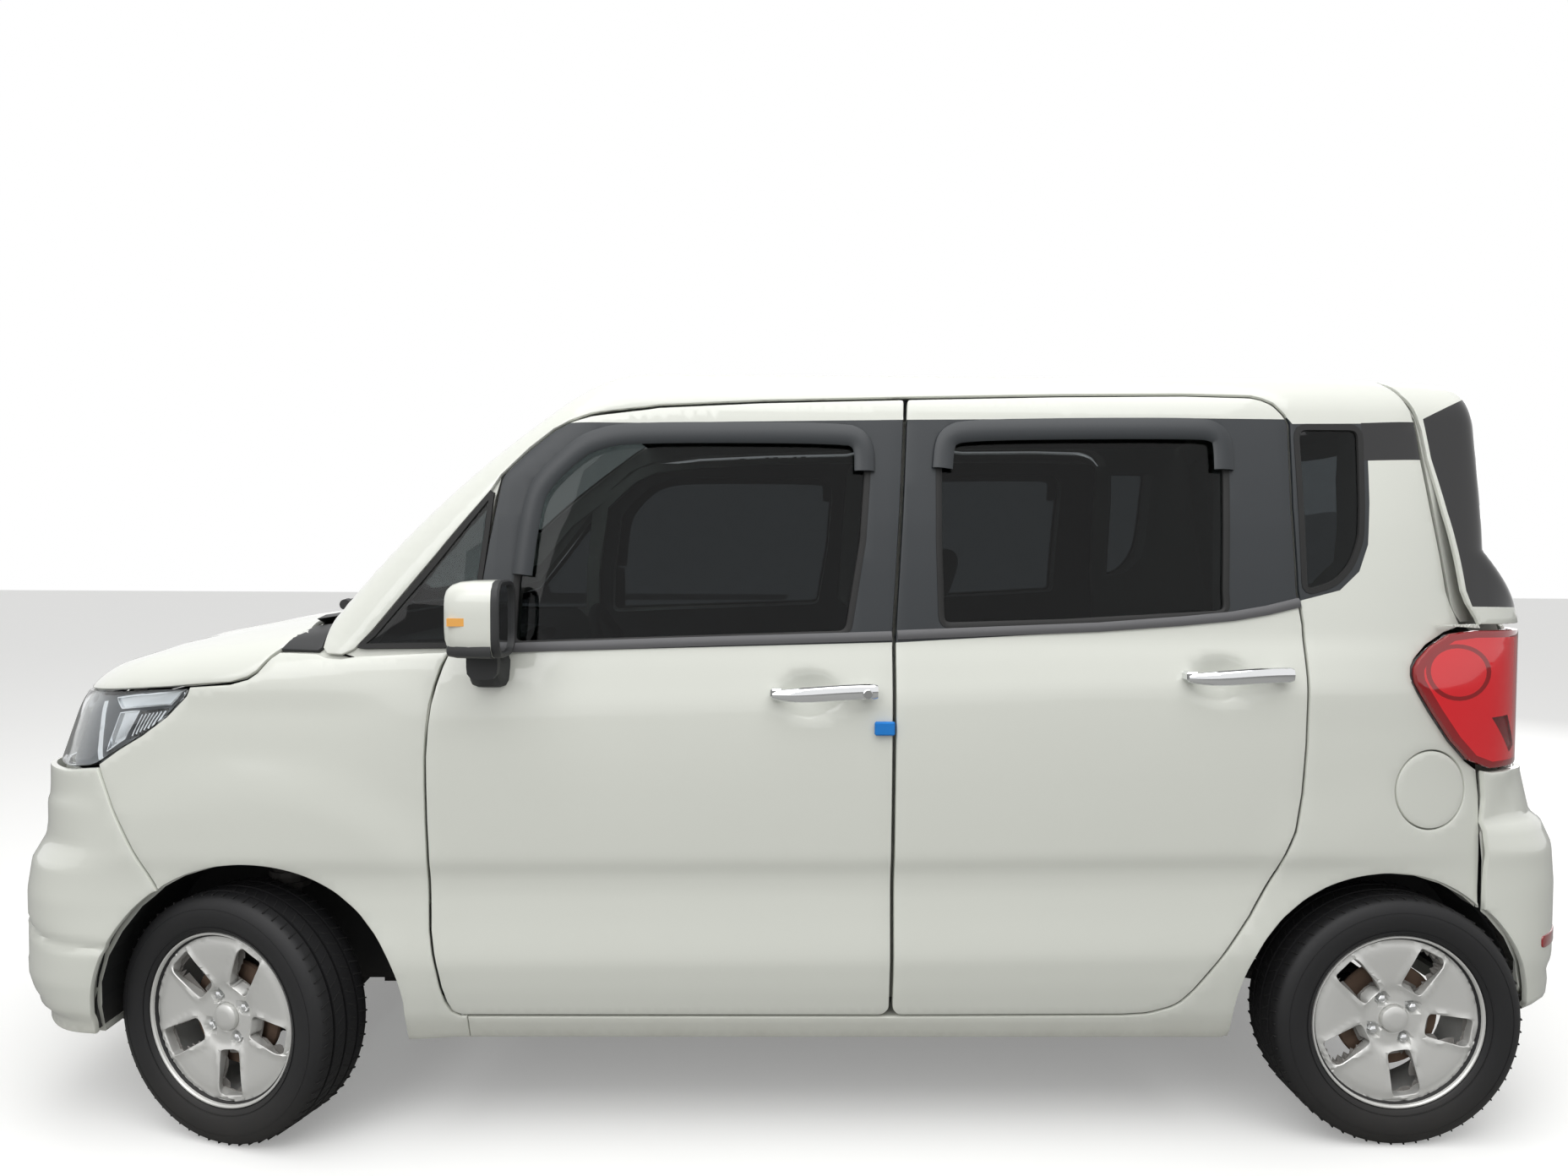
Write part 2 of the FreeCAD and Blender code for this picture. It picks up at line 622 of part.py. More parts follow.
# Bumpers: a low wide part and, above its step, an upper part under the lamps
def bumper(outline, top, step, room, inner_edge):
    # room is what wheel arch or grille take out; inner_edge is where the upper part ends
    deep = size("bumper_depth")
    zone = side_prism(outline, GAP).cut(room)
    lower = zone.common(box(-FAR, FAR, -FAR, FAR, 200, step)).common(hull("low"))
    lower = lower.cut(hull("low", deep).common(box(-FAR, FAR, -FAR, FAR, 0, step - 12)))
    lower = lower.cut(box(-BUMPER_ROOM, BUMPER_ROOM, -600, 600, step - 30, step + 10))
    upper = shell("high", 0, deep, zone.common(box(-FAR, FAR, -FAR, -inner_edge, step, top)))
    return lower.fuse(upper).fuse(mirror(upper))


BUMPER_ROOM = 1640.0
BUMPER_STEP_FRONT = 655.0
MOUTH = [(-430, 330), (430, 330), (500, 500), (-500, 500)]
mouth = Part.Face(section_wire(MOUTH)).extrude(V(FAR - 1000, 0, 0))
front_bumper = bumper(BUMPER_FRONT_SIDE, 800, BUMPER_STEP_FRONT,
                      ARCH_FRONT.fuse(mouth), 0)
bars = [box(-FAR, -1400, -520, 520, 360 + 38 * row, 372 + 38 * row) for row in range(4)]
front_bumper = front_bumper.fuse([shell("low", 0, 20, bar) for bar in bars])
add_node("front_bumper", front_bumper)
BUMPER_STEP_REAR = 690.0
rear_bumper = bumper(BUMPER_REAR_SIDE, 812, BUMPER_STEP_REAR, ARCH_REAR, LAMP_INNER)
add_node("rear_bumper", rear_bumper)

# Grille panel between the headlamps
grille = shell("high", 0, 20,
               box(-1900, -1500, -HEADLAMP_INNER + 6, HEADLAMP_INNER - 6, 806, 940))
slot = [box(-1900, -1500, -330, 330, z, z + 10) for z in (850, 872, 894)]
add_node("grille", grille.cut(fuse(slot)))

# Lamps: closed housings set in the body corners
lamp_zone = panel(HEADLAMP_SIDE).cut(box(-FAR, FAR, -HEADLAMP_INNER, FAR, 0, 1800))
head = shell("high", 0, size("lamp_depth"), lamp_zone)
add_pair("headlamp", head)
lamp_zone = panel(TAIL_LAMP_SIDE).cut(box(-FAR, FAR, -LAMP_INNER, FAR, 0, 1800))
tail = shell("high", 0, size("lamp_depth"), lamp_zone)
add_pair("tail_lamp", tail)

# Tailgate: window part above the lamps, narrow part between them
depth = size("lid_depth")
upper_gate = shell("cabin", 0, depth, side_prism(TAILGATE_SIDE, GAP))
lower_gate = shell("high", 0, depth,
                   box(1480, FAR, -LAMP_INNER + 6, LAMP_INNER - 6, TAILGATE_BOTTOM, 1142))
shelf = hull("high", 0).cut(hull("cabin", depth)).common(
    box(1450, FAR, -LAMP_INNER + 6, LAMP_INNER - 6, 1130, 1160)).common(hull("high", 0))
REAR_WINDOW = [(-600, 1190), (600, 1190), (570, 1560), (-570, 1560)]
rear_opening = Part.Face(section_wire(REAR_WINDOW))
rear_opening = rear_opening.extrude(V(2 * FAR, 0, 0)).common(box(1350, FAR, -FAR, FAR, 0, 1800))
gate = fuse([upper_gate, lower_gate, shelf]).cut(rear_opening)
add_node("tailgate", gate)
inset = size("glass_inset")
gate_glass = shell("cabin", inset, inset + size("glass_depth"), rear_opening)
add_node("tailgate_glass", gate_glass)

# Door mirrors on a short foot
MIRROR = [(-686, 1068), (-569, 1062), (-569, 1222), (-640, 1228), (-686, 1190)]
head_left = half_side_prism(MIRROR, -1, 0).common(box(-900, -400, -945, -795, 1000, 1300))
foot = box(-671, -585, -835, -760, 992, 1075).cut(hull("cabin", 0))
add_pair("mirror", head_left.fuse(foot))

# Wheels: tyre, rim with hub and brake disc, upright wheel at its own axle
half = size("tyre_width") / 2
rim_half = size("rim_width") / 2
bead = size("bead_radius")
tyre_radius = size("tyre_radius")
rim_radius = size("rim_radius")
bead_half = rim_half - 8
TYRE = [
    (-bead_half + SEAT, bead + SEAT), (bead_half - SEAT, bead + SEAT),
    (rim_half - SEAT, rim_radius + 4), (half, 236), (half - 20, tyre_radius),
    (-half + 20, tyre_radius), (-half, 236), (-rim_half + SEAT, rim_radius + 4),
]
BLANK = [
    (bead_half, bead), (rim_half, rim_radius), (rim_half, bead - 6), (62, 165), (56, 100),
    (50, 62), (50, 34), (58, 29), (58, 0), (-6, 0), (-6, 60), (22, 60), (28, bead - 8),
    (-rim_half, bead - 8), (-rim_half, rim_radius), (-bead_half, bead),
]
sides = int(size("wheel_sides"))
tyre_solid = lathe(TYRE, sides)


def plane(body, role):
    return [item for item in body.Origin.OriginFeatures if item.Role == role][0]


def name_size(sketch, name, kind, ends, value, formula):
    # One named size of a sketch, bound to the sheet
    index = sketch.addConstraint(Sketcher.Constraint(kind, *ends, value))
    sketch.renameConstraint(index, name)
    sketch.setExpression("Constraints." + name, formula)


def new_sketch(body, name):
    sketch = body.newObject("Sketcher::SketchObject", name)
    sketch.AttachmentSupport = [(plane(body, "XZ_Plane"), "")]
    sketch.MapMode = "FlatFace"
    return sketch


def pattern(body, name, feature, sketch, count):
    turned = body.newObject("PartDesign::PolarPattern", name)
    turned.Originals = [feature]
    turned.Axis = (sketch, ["N_Axis"])
    turned.Angle = 360
    turned.setExpression("Occurrences", count)
    body.Tip = turned
    doc.recompute()


# The cast rim: a turned blank with five spoke windows and four bolt holes cut round it
blank = doc.addObject("Part::Feature", "rim_blank")
blank.Shape = lathe(BLANK, sides)
rim_body = doc.addObject("PartDesign::Body", "rim_body")
rim_body.BaseFeature = blank
doc.recompute()
def cut_round(name, near, far, tall, count):
    # A four-sided opening cut through the rim and repeated round it; each size is a
    # pair of its value and the sheet formula it follows
    sketch = new_sketch(rim_body, name + "_sketch")
    half_tall = tall[0] / 2
    corners = [(near[0], -half_tall), (far[0], -half_tall), (far[0], half_tall),
               (near[0], half_tall)]
    for start, end in zip(corners, corners[1:] + corners[:1]):
        sketch.addGeometry(Part.LineSegment(V(*start, 0), V(*end, 0)))
    for line in range(4):
        sketch.addConstraint(Sketcher.Constraint("Coincident", line, 2, (line + 1) % 4, 1))
    sketch.addConstraint(Sketcher.Constraint("Horizontal", 0))
    sketch.addConstraint(Sketcher.Constraint("Horizontal", 2))
    sketch.addConstraint(Sketcher.Constraint("Vertical", 1))
    sketch.addConstraint(Sketcher.Constraint("Symmetric", 0, 1, 2, 2, -1))
    name_size(sketch, "near", "DistanceX", (-1, 1, 0, 1), *near)
    name_size(sketch, "far", "DistanceX", (-1, 1, 0, 2), *far)
    name_size(sketch, "tall", "DistanceY", (1, 1, 1, 2), *tall)
    pocket = rim_body.newObject("PartDesign::Pocket", name)
    pocket.Profile = sketch
    pocket.Midplane = True
    pocket.setExpression("Length", "Sizes.rim_width * 1.5")
    doc.recompute()
    pattern(rim_body, name + "_ring", pocket, sketch, count)


cut_round("window", (size("window_inner"), "Sizes.window_inner"),
          (size("window_outer"), "Sizes.window_outer"),
          (size("window_width"), "Sizes.window_width"), "Sizes.window_count")
pitch = size("bolt_circle") / 2
bolt = size("bolt_radius")
cut_round("bolt", (pitch - bolt, "Sizes.bolt_circle / 2 - Sizes.bolt_radius"),
          (pitch + bolt, "Sizes.bolt_circle / 2 + Sizes.bolt_radius"),
          (2 * bolt, "Sizes.bolt_radius * 2"), "Sizes.bolt_count")
if rim_body.Shape.Volume > blank.Shape.Volume - 100000.0:
    raise RuntimeError("the rim's windows were not cut")
rim_solid = rim_body.Shape.copy()
rim_solid.rotate(V(0, 0, 0), V(0, 1, 0), -size("window_turn"))
disc = rod((0, 8, 0), (0, 8 + size("disc_thickness"), 0), size("disc_radius"))
drum = rod((0, 8, 0), (0, 24, 0), 64)
bore = rod((0, -6.5, 0), (0, 19.5, 0), 33)
rim_solid = fuse([rim_solid, disc, drum]).cut(bore)


def wheel(x, side, steer):
    turn = FreeCAD.Rotation(V(0, 0, 1), (180 if side < 0 else 0))
    spot = FreeCAD.Placement(V(x, side * WHEEL_Y, HUB), turn)
    if steer:
        king = V(FRONT_AXLE, side * size("kingpin_offset"), 0)
        swing = FreeCAD.Rotation(V(0, 0, 1), -size("rest_steer"))
        spot = FreeCAD.Placement(king, swing) * FreeCAD.Placement(-king, FreeCAD.Rotation()) * spot
    return spot


for name, x, side, steer in (
    ("front_left", FRONT_AXLE, -1, True), ("front_right", FRONT_AXLE, 1, True),
    ("rear_left", REAR_AXLE, -1, False), ("rear_right", REAR_AXLE, 1, False),
):
    add_node("tyre_" + name, tyre_solid, wheel(x, side, steer))
    add_node("rim_" + name, rim_solid, wheel(x, side, steer))

# Front uprights with strut and spring, turned with the steered wheels
def spring(x, y, z, radius, turns, pitch):
    # Stacked coils round a damper, every second one smaller
    coils = []
    for turn in range(turns):
        low = z + pitch * turn
        coils.append(rod((x, y, low), (x, y, low + pitch), radius - 8 * (turn % 2), 12))
    return coils


def knuckle(side):
    post = rod((0, 669, 194 + SEAT), (0, 669, 370), 17)
    bearing = rod((0, 640, HUB), (0, WHEEL_Y - 6.5 - SEAT, HUB), 42)
    arm = box(-20, 20, 548, 669, 395, 425)
    web = box(-16, 16, 650, 688, 330, 425)
    strut = rod((0, 560, 385), (0, 560, 535), 24)
    caliper = box(70, 118, 660, 704, 236, 320)
    bracket = box(20, 90, 655, 672, 255, 300)
    shape = [post, bearing, arm, web, strut, caliper, bracket]
    shape = fuse(shape + spring(0, 560, 506, 46, 5, 13))
    shape.translate(V(FRONT_AXLE, 0, 0))
    if side < 0:
        shape = mirror(shape)
    king = V(FRONT_AXLE, side * size("kingpin_offset"), 0)
    shape.rotate(king, V(0, 0, 1), -size("rest_steer"))
    return shape


add_node("knuckle_left", knuckle(-1))
add_node("knuckle_right", knuckle(1))

# Front subframe with lower arms, rear axle beam with trailing arms and springs
arm = rod((FRONT_AXLE, -660, 176), (FRONT_AXLE + 40, -340, 188), 15)
ball = rod((FRONT_AXLE, -669, 168), (FRONT_AXLE, -669, 194), 19)
cross = box(FRONT_AXLE - 50, FRONT_AXLE + 110, -420, 420, 172, 212)
post = box(FRONT_AXLE + 40, FRONT_AXLE + 100, -420, -380, 200, 330 - SEAT)
sub = fuse([cross, arm, ball, mirror(arm), mirror(ball), post, mirror(post)])
sub = sub.cut(box(FRONT_AXLE - 120, FRONT_AXLE + 200, -200, 200, 190, 260))
add_node("front_subframe", sub)
beam = box(REAR_AXLE - 90, REAR_AXLE - 30, -560, 560, 225, 285)
beam = beam.cut(box(REAR_AXLE - 82, REAR_AXLE - 38, -520, 520, 200, 277))
trail = rod((REAR_AXLE - 330, -480, 300), (REAR_AXLE - 60, -500, 262), 24)
bush = rod((REAR_AXLE - 340, -515, 300), (REAR_AXLE - 340, -440, 300), 36)
hanger = box(REAR_AXLE - 365, REAR_AXLE - 315, -515, -430, 300, 400)
stub = rod((REAR_AXLE, -WHEEL_Y + 6.5 + SEAT, HUB), (REAR_AXLE, -520, HUB), 30)
plate = box(REAR_AXLE - 60, REAR_AXLE + 30, -560, -520, 235, 310)
side_set = fuse([trail, bush, hanger, stub, plate])
side_set = fuse([side_set] + spring(REAR_AXLE - 60, -400, 284, 50, 8, 14.5))
add_node("rear_axle_beam", fuse([beam, side_set, mirror(side_set)]))

# Engine block, fuel tank and exhaust
engine = bound_box("engine", "Sizes.engine_length", "Sizes.engine_width", "Sizes.engine_height",
                   ("Sizes.engine_x", "-Sizes.engine_width / 2", "Sizes.engine_z"))
bound_node("engine_block", [engine])
tank = bound_box("tank", "Sizes.tank_length", "Sizes.tank_width", "Sizes.tank_height",
                 ("Sizes.tank_x", "Sizes.tank_y", "Sizes.tank_z"))
bound_node("fuel_tank", [tank])
route = [(-900, 0, 205), (640, 0, 205), (690, 310, 250), (1150, 310, 325), (1440, 310, 325)]
pipes = [rod(a, b, 18, 12) for a, b in zip(route, route[1:])]
elbows = [rod((x, y, z - 17), (x, y, z + 17), 18, 12) for x, y, z in route[1:-1]]
hangers = [box(-406, -394, -6, 6, 205, low + 85 - SEAT)]
hangers += [box(1504, 1516, y - 6, y + 6, 330, rear_low - SEAT) for y in (20, 360)]
muffler = box(1430, 1565, -60, 400, 262, 372)
add_node("exhaust", fuse(pipes + elbows + hangers + [muffler]))

# Dashboard across the cabin, seats, steering wheel
DASH = [(-934, 780), (-934, 1080), (-700, 1096), (-620, 1020), (-600, 900), (-640, 700), (-760, 640)]
dash = side_prism(DASH).common(hull("cabin", JAMB_INNER + SEAT))
tilt = size("column_tilt")
column_place = FreeCAD.Placement(
    V(size("wheel_hand_x") - 90, -size("seat_y"), size("wheel_hand_z")),
    FreeCAD.Rotation(V(0, 1, 0), tilt))
shroud = rod((0, 0, -300), (0, 0, -110), 36)
shroud.Placement = column_place * shroud.Placement
bore = Part.makeCylinder(17, 190, V(0, 0, -290))
bore.Placement = column_place
add_node("dashboard", dash.fuse(shroud).cut(bore))


def seat(name, centre):
    # Frame, cushion, leaning back and head rest on two pins, all following the sheet
    frame = bound_box(name + "_frame", "Sizes.cushion_length - 60", "Sizes.seat_width - 80",
                      "Sizes.seat_frame_height",
                      ("Sizes.seat_x - 230", centre + " - Sizes.seat_width / 2 + 40",
                       "Sizes.seat_frame_z"))
    cushion = bound_box(name + "_cushion", "Sizes.cushion_length", "Sizes.seat_width",
                        "Sizes.cushion_height",
                        ("Sizes.seat_x - 260", centre + " - Sizes.seat_width / 2",
                         "Sizes.seat_height - Sizes.cushion_height"))
    back = bound_box(name + "_back", "Sizes.seat_back_depth", "Sizes.seat_width",
                     "Sizes.seat_back_height",
                     ("Sizes.seat_x + 150", centre + " - Sizes.seat_width / 2",
                      "Sizes.seat_height - 40"))
    pins = []
    for spread in ("-50", "+38"):
        pins.append(bound_box(name + "_pin", "Sizes.pin_width", "Sizes.pin_width",
                              "Sizes.pin_height",
                              ("Sizes.seat_x + 345", centre + spread,
                               "Sizes.seat_height + 630")))
    head = bound_box(name + "_head", "Sizes.head_depth", "Sizes.head_width",
                     "Sizes.head_height",
                     ("Sizes.seat_x + 315", centre + " - Sizes.head_width / 2",
                      "Sizes.seat_height + 680"))
    for leaning in (back, head):
        leaning.Placement.Rotation = FreeCAD.Rotation(V(0, 1, 0), size("seat_back_lean"))
    bound_node(name, [frame, cushion, back, head] + pins)


seat("driver_seat", "-Sizes.seat_y")
seat("passenger_seat", "Sizes.seat_y")
bench = bound_box("bench", "Sizes.bench_length", "Sizes.bench_width", "Sizes.bench_height",
                  ("Sizes.bench_x - 230", "-Sizes.bench_width / 2", "Sizes.bench_z"))
bench_back = bound_box("bench_back", "Sizes.bench_back_depth", "Sizes.bench_width",
                       "Sizes.bench_back_height",
                       ("Sizes.bench_x + 120", "-Sizes.bench_width / 2",
                        "Sizes.bench_z + Sizes.bench_height / 2"))
bench_back.Placement.Rotation = FreeCAD.Rotation(V(0, 1, 0), size("bench_back_lean"))
bound_node("rear_bench", [bench, bench_back])

hand = size("wheel_hand_radius")
tube = size("hand_tube")
ring = [(-tube, hand), (-tube / 2, hand + tube), (tube / 2, hand + tube), (tube, hand),
        (tube / 2, hand - tube), (-tube / 2, hand - tube)]
ring = lathe(ring, 24)
ring.rotate(V(0, 0, 0), V(1, 0, 0), 90)
spokes = [Part.makeBox(size("wheel_hand_radius"), 34, 16, V(0, -17, -8)) for _ in range(3)]
for spoke, turn in zip(spokes, (0, 180, -90)):
    spoke.rotate(V(0, 0, 0), V(0, 0, 1), turn)
boss = rod((0, 0, -28), (0, 0, 12), 62)
hand = fuse([ring, boss] + spokes)
column = Part.makeCylinder(16, 200, V(0, 0, -228))
hand = hand.fuse(column)
hand_turn = FreeCAD.Placement(V(0, 0, 0), FreeCAD.Rotation(V(0, 0, 1), 90))
add_node("steering_wheel", hand, column_place * hand_turn)


doc.recompute()
for item in doc.Objects:
    if "Invalid" in item.State or "Error" in item.State:
        raise RuntimeError("object in error: " + item.Label)
for piece in nodes:
    shape = piece.Shape
    if shape.isNull() or not shape.isValid() or not shape.Solids or shape.Volume < 1000.0:
        raise RuntimeError("shape in error: " + piece.Label)
os.makedirs("parts", exist_ok=True)
for piece in nodes:
    piece.Shape.exportStep("parts/%s.step" % piece.Label)
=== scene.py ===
import math

import bpy
import numpy as np
from mathutils import Matrix, Vector
from mathutils.bvhtree import BVHTree
from mathutils.geometry import delaunay_2d_cdt


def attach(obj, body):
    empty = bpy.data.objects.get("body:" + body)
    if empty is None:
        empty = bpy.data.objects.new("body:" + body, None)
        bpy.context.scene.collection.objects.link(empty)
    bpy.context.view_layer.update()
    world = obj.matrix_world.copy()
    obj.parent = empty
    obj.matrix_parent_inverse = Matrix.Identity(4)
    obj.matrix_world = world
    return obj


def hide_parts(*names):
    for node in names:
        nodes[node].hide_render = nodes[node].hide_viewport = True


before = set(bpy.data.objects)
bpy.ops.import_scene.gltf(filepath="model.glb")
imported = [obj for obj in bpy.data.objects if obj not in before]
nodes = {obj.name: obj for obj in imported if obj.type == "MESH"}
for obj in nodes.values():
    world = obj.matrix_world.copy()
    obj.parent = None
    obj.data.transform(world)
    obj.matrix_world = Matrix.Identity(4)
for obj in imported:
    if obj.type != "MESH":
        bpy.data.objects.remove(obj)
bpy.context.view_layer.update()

# Places and sizes that several parts share, in metres
AXLE_HEIGHT = .272
# Wheel arches: centre along the car and radius
ARCH_F, ARCH_R = (-1.1545, .340), (1.3065, .326)
REAR_AXLE = 1.3375
SEAT_SIDE = .355
WHEEL_HAND = (-.39, -.355, .985)
PANEL_GAP, FIXED_GAP = .004, .0015
FLAP_CENTRE, FLAP_RADIUS, FLAP_GAP = (1.399, .780), .0838, .003


# Body surface: smooth limits of the section, the plans and the side profiles, in metres


def arcs(points, step=0.02):
    """An outline in millimetres, with arcs through three points, as a dense line in metres."""
    line = [points[0]]
    for point in points[1:]:
        if point[0] != "arc":
            line.append(point)
            continue
        a, b, c = (np.array(p, float) for p in (line[-1], point[1], point[2]))
        d = 2 * (a[0] * (b[1] - c[1]) + b[0] * (c[1] - a[1]) + c[0] * (a[1] - b[1]))
        if abs(d) < 1e-6:
            line.append(tuple(c))
            continue
        ux = (a @ a) * (b[1] - c[1]) + (b @ b) * (c[1] - a[1]) + (c @ c) * (a[1] - b[1])
        uy = (a @ a) * (c[0] - b[0]) + (b @ b) * (a[0] - c[0]) + (c @ c) * (b[0] - a[0])
        middle = np.array([ux, uy]) / d
        radius = np.linalg.norm(a - middle)
        t0, t1, t2 = (math.atan2(*(p - middle)[::-1]) for p in (a, b, c))
        sweep = (t2 - t0) % (2 * math.pi)
        if (t1 - t0) % (2 * math.pi) > sweep:
            sweep -= 2 * math.pi
        count = max(4, int(abs(sweep) * radius / (step * 1000)))
        for i in range(1, count + 1):
            t = t0 + sweep * i / count
            line.append((middle[0] + radius * math.cos(t), middle[1] + radius * math.sin(t)))
    return np.array(line, float) / 1000


def smax(a, b, k):
    """The larger of two values, blended within k of each other."""
    h = np.clip(0.5 + 0.5 * (a - b) / k, 0, 1)
    return b * (1 - h) + a * h + k * h * (1 - h)


def step01(a, b, v):
    """A smooth step from 0 at a to 1 at b."""
    t = np.clip((v - a) / (b - a), 0, 1)
    return t * t * (3 - 2 * t)


def plan_distance(line, x, y):
    """Signed distance to a half plan that is closed across the centre line."""
    poly = np.vstack([line, [(line[-1][0], -0.7), (line[0][0], -0.7)]])
    a, b = poly, np.roll(poly, -1, axis=0)
    p = np.stack([x, y], -1)[:, None, :]
    ab = (b - a)[None]
    ap = p - a[None]
    h = np.clip((ap * ab).sum(-1) / np.maximum((ab * ab).sum(-1), 1e-12), 0, 1)
    gap = np.sqrt((((ap - h[..., None] * ab)) ** 2).sum(-1)).min(1)
    ya, yb = a[None, :, 1], b[None, :, 1]
    cross = (ya > y[:, None]) != (yb > y[:, None])
    at = a[None, :, 0] + (y[:, None] - ya) * ab[..., 0] / np.where(yb == ya, 1e-9, yb - ya)
    inside = (cross & (x[:, None] < at)).sum(1) % 2 == 1
    return np.where(inside, -gap, gap)


LOW_PLAN = arcs([
    (-1797.5, 0), ("arc", (-1776, 350), (-1722, 610)), ("arc", (-1648, 708), (-1520, 765)),
    ("arc", (-1300, 795), (-1050, 822)), (1130, 822), ("arc", (1340, 805), (1540, 772)),
    ("arc", (1680, 735), (1762, 630)), ("arc", (1788, 350), (1797.5, 0)),
])
HIGH_PLAN = arcs([
    (-1750, 0), ("arc", (-1735, 300), (-1693, 560)), ("arc", (-1615, 690), (-1500, 752)),
    ("arc", (-1300, 793), (-1050, 822)), (1130, 822), ("arc", (1340, 797), (1520, 752)),
    ("arc", (1620, 700), (1672, 620)), ("arc", (1708, 350), (1724, 0)),
])
TAIL_PLAN = arcs([
    (-1700, 0), (-1700, 840), (1060, 840), ("arc", (1320, 775), (1452, 735)),
    ("arc", (1530, 680), (1572, 590)), ("arc", (1606, 300), (1614, 0)),
])
SECTION_Z = [.18, .222, .285, .345, .408, .44, .50, .56, .60, .627, .66, .72, .80, .85, .90,
             .95, .969, 1.00, 1.05, 1.098, 1.15, 1.25, 1.35, 1.45, 1.552, 1.62, 1.8]
SECTION_Y = [.716, .742, .766, .780, .7895, .7875, .781, .7765, .779, .7885, .7905, .7935,
             .7965, .7972, .7965, .7945, .7930, .7875, .7790, .7680, .7625, .7512, .738,
             .7213, .703, .690, .652]


def side_width(x, z):
    """Half width of the body side, with its three creases and the wheel-arch swellings."""
    low = np.interp(x, [-.70, .221, .949], [.401, .408, .421])
    mid = np.interp(x, [-.70, .219, .943], [.621, .627, .638])
    top = np.interp(x, [-1.27, -.59, -.055, .667, 1.103], [.937, .952, .969, 1.004, 1.006])
    out = 0
    for shift in (-.012, -.006, 0, .006, .012):
        h = z + shift
        flat = np.where(h < low, h + (.408 - low) * np.clip((h - .2) / .2, 0, 1), h)
        flat = np.where((h >= low) & (h < mid), .408 + (h - low) * .219 / (mid - low), flat)
        flat = np.where((h >= mid) & (h < top), .627 + (h - mid) * .342 / (top - mid), flat)
        flat = np.where((h >= top) & (h < 1.12), .969 + (h - top) * .151 / (1.12 - top), flat)
        out = out + np.interp(flat, SECTION_Z, SECTION_Y) / 5
    front = np.hypot(x - ARCH_F[0], z - AXLE_HEIGHT)
    swell = step01(.60, .47, front) * step01(-.70, -.80, x)
    dip = step01(-.72, -1.0, x) * step01(.42, .50, z)
    out = out + .011 * swell - .009 * dip * step01(1.0, .93, z)
    rear = np.hypot(x - ARCH_R[0], z - AXLE_HEIGHT)
    swell = step01(.56, .40, rear) * step01(1.0, 1.1, x)
    return out + .006 * swell - .004 * step01(.95, 1.15, x) * step01(.42, .50, z) * step01(1.0, .9, z)


def crown(y):
    """How far the roof drops towards its sides."""
    return .0245 * y * y + .19 * np.clip(np.abs(y) - .5, 0, 1) ** 2


def f_section(x, y, z):
    """The cross-section of sides and roof; every field is negative inside the body."""
    side = (y - side_width(x, z)) * .99
    top = z - (1.6995 - crown(y)) + .012 * np.clip(x - 1.1, 0, 1) ** 2 * 8
    return smax(side, top, .085)


def f_low(x, y, z):
    """The body below the lamps, with both bumpers."""
    front = np.interp(z, [.18, .215, .24, .275, .34, .52, .59, .64, .70, .76, .9],
                      [.16, .105, .058, .016, 0, 0, .01, .038, .046, .049, .05])
    rear = np.interp(z, [.18, .22, .262, .30, .40, .56, .64, .69, .71, .8],
                     [.14, .10, .058, .010, 0, 0, .006, .027, .05, .07])
    weight = step01(1.35, 1.7, np.abs(x))
    plan = plan_distance(LOW_PLAN, x, y) + np.where(x < 0, front, rear) * weight
    return smax(f_section(x, y, z), plan, .05)


def f_high(x, y, z):
    """The body above the bumpers, with the bonnet."""
    lean = np.where(x < 0, .36 * np.clip(z - .72, 0, 1), 0)
    plan = plan_distance(HIGH_PLAN, x - lean, y)
    tail = x - np.interp(z, [.6, .88, 1.04, 1.12, 1.186, 1.3], [1.724, 1.718, 1.69, 1.66, 1.612, 1.52])
    plan = smax(plan, tail - .012, .03)
    bonnet = z - np.interp(x, [-1.80, -1.716, -1.69, -1.655, -1.61, -1.5, -1.4, -1.25, -1.1, -.98, -.8],
                           [.70, .895, .955, .985, 1.011, 1.049, 1.080, 1.110, 1.132, 1.149, 1.18])
    bonnet = np.where(x < -.5, (bonnet + .05 * y * y + .30 * np.clip(y - .5, 0, 1) ** 2) * .93, -1)
    return smax(smax(f_section(x, y, z), plan, .05), bonnet, .07)


def f_cabin(x, y, z):
    """The cabin, its screens and its doors."""
    bow = .22 * y * y
    screen = ((-1.092 + bow) + .82 * (z - 1.137) - x) / 1.293
    header = ((-.893 + bow) + 1.3 * (z - 1.379) - x) / 1.64
    front = smax(screen, header, .06)
    tail = plan_distance(TAIL_PLAN, x + .19 * (z - 1.137), y) * .98
    body = smax(f_section(x, y, z), front, .07)
    drop = (z - (1.722 - .62 * np.clip(x - 1.30, 0, 1) ** 1.6))
    return smax(smax(body, tail, .05), drop, .03)


def surface(field, origin, way, reach=2.0):
    """Where rays from inside the body leave it."""
    low = np.zeros(len(origin))
    high = np.full(len(origin), reach)
    for _ in range(34):
        mid = (low + high) / 2
        p = origin + way * mid[:, None]
        out = field(p[:, 0], np.abs(p[:, 1]), p[:, 2]) > 0
        high = np.where(out, mid, high)
        low = np.where(out, low, mid)
    return origin + way * low[:, None]


def outward(field, p, e=.002):
    """The surface's outward directions at points."""
    g = []
    for axis in range(3):
        d = np.zeros(3)
        d[axis] = e
        a, b = p + d, p - d
        g.append(field(a[:, 0], np.abs(a[:, 1]), a[:, 2]) - field(b[:, 0], np.abs(b[:, 1]), b[:, 2]))
    g = np.stack(g, -1)
    return g / np.maximum(np.linalg.norm(g, axis=1, keepdims=True), 1e-12)


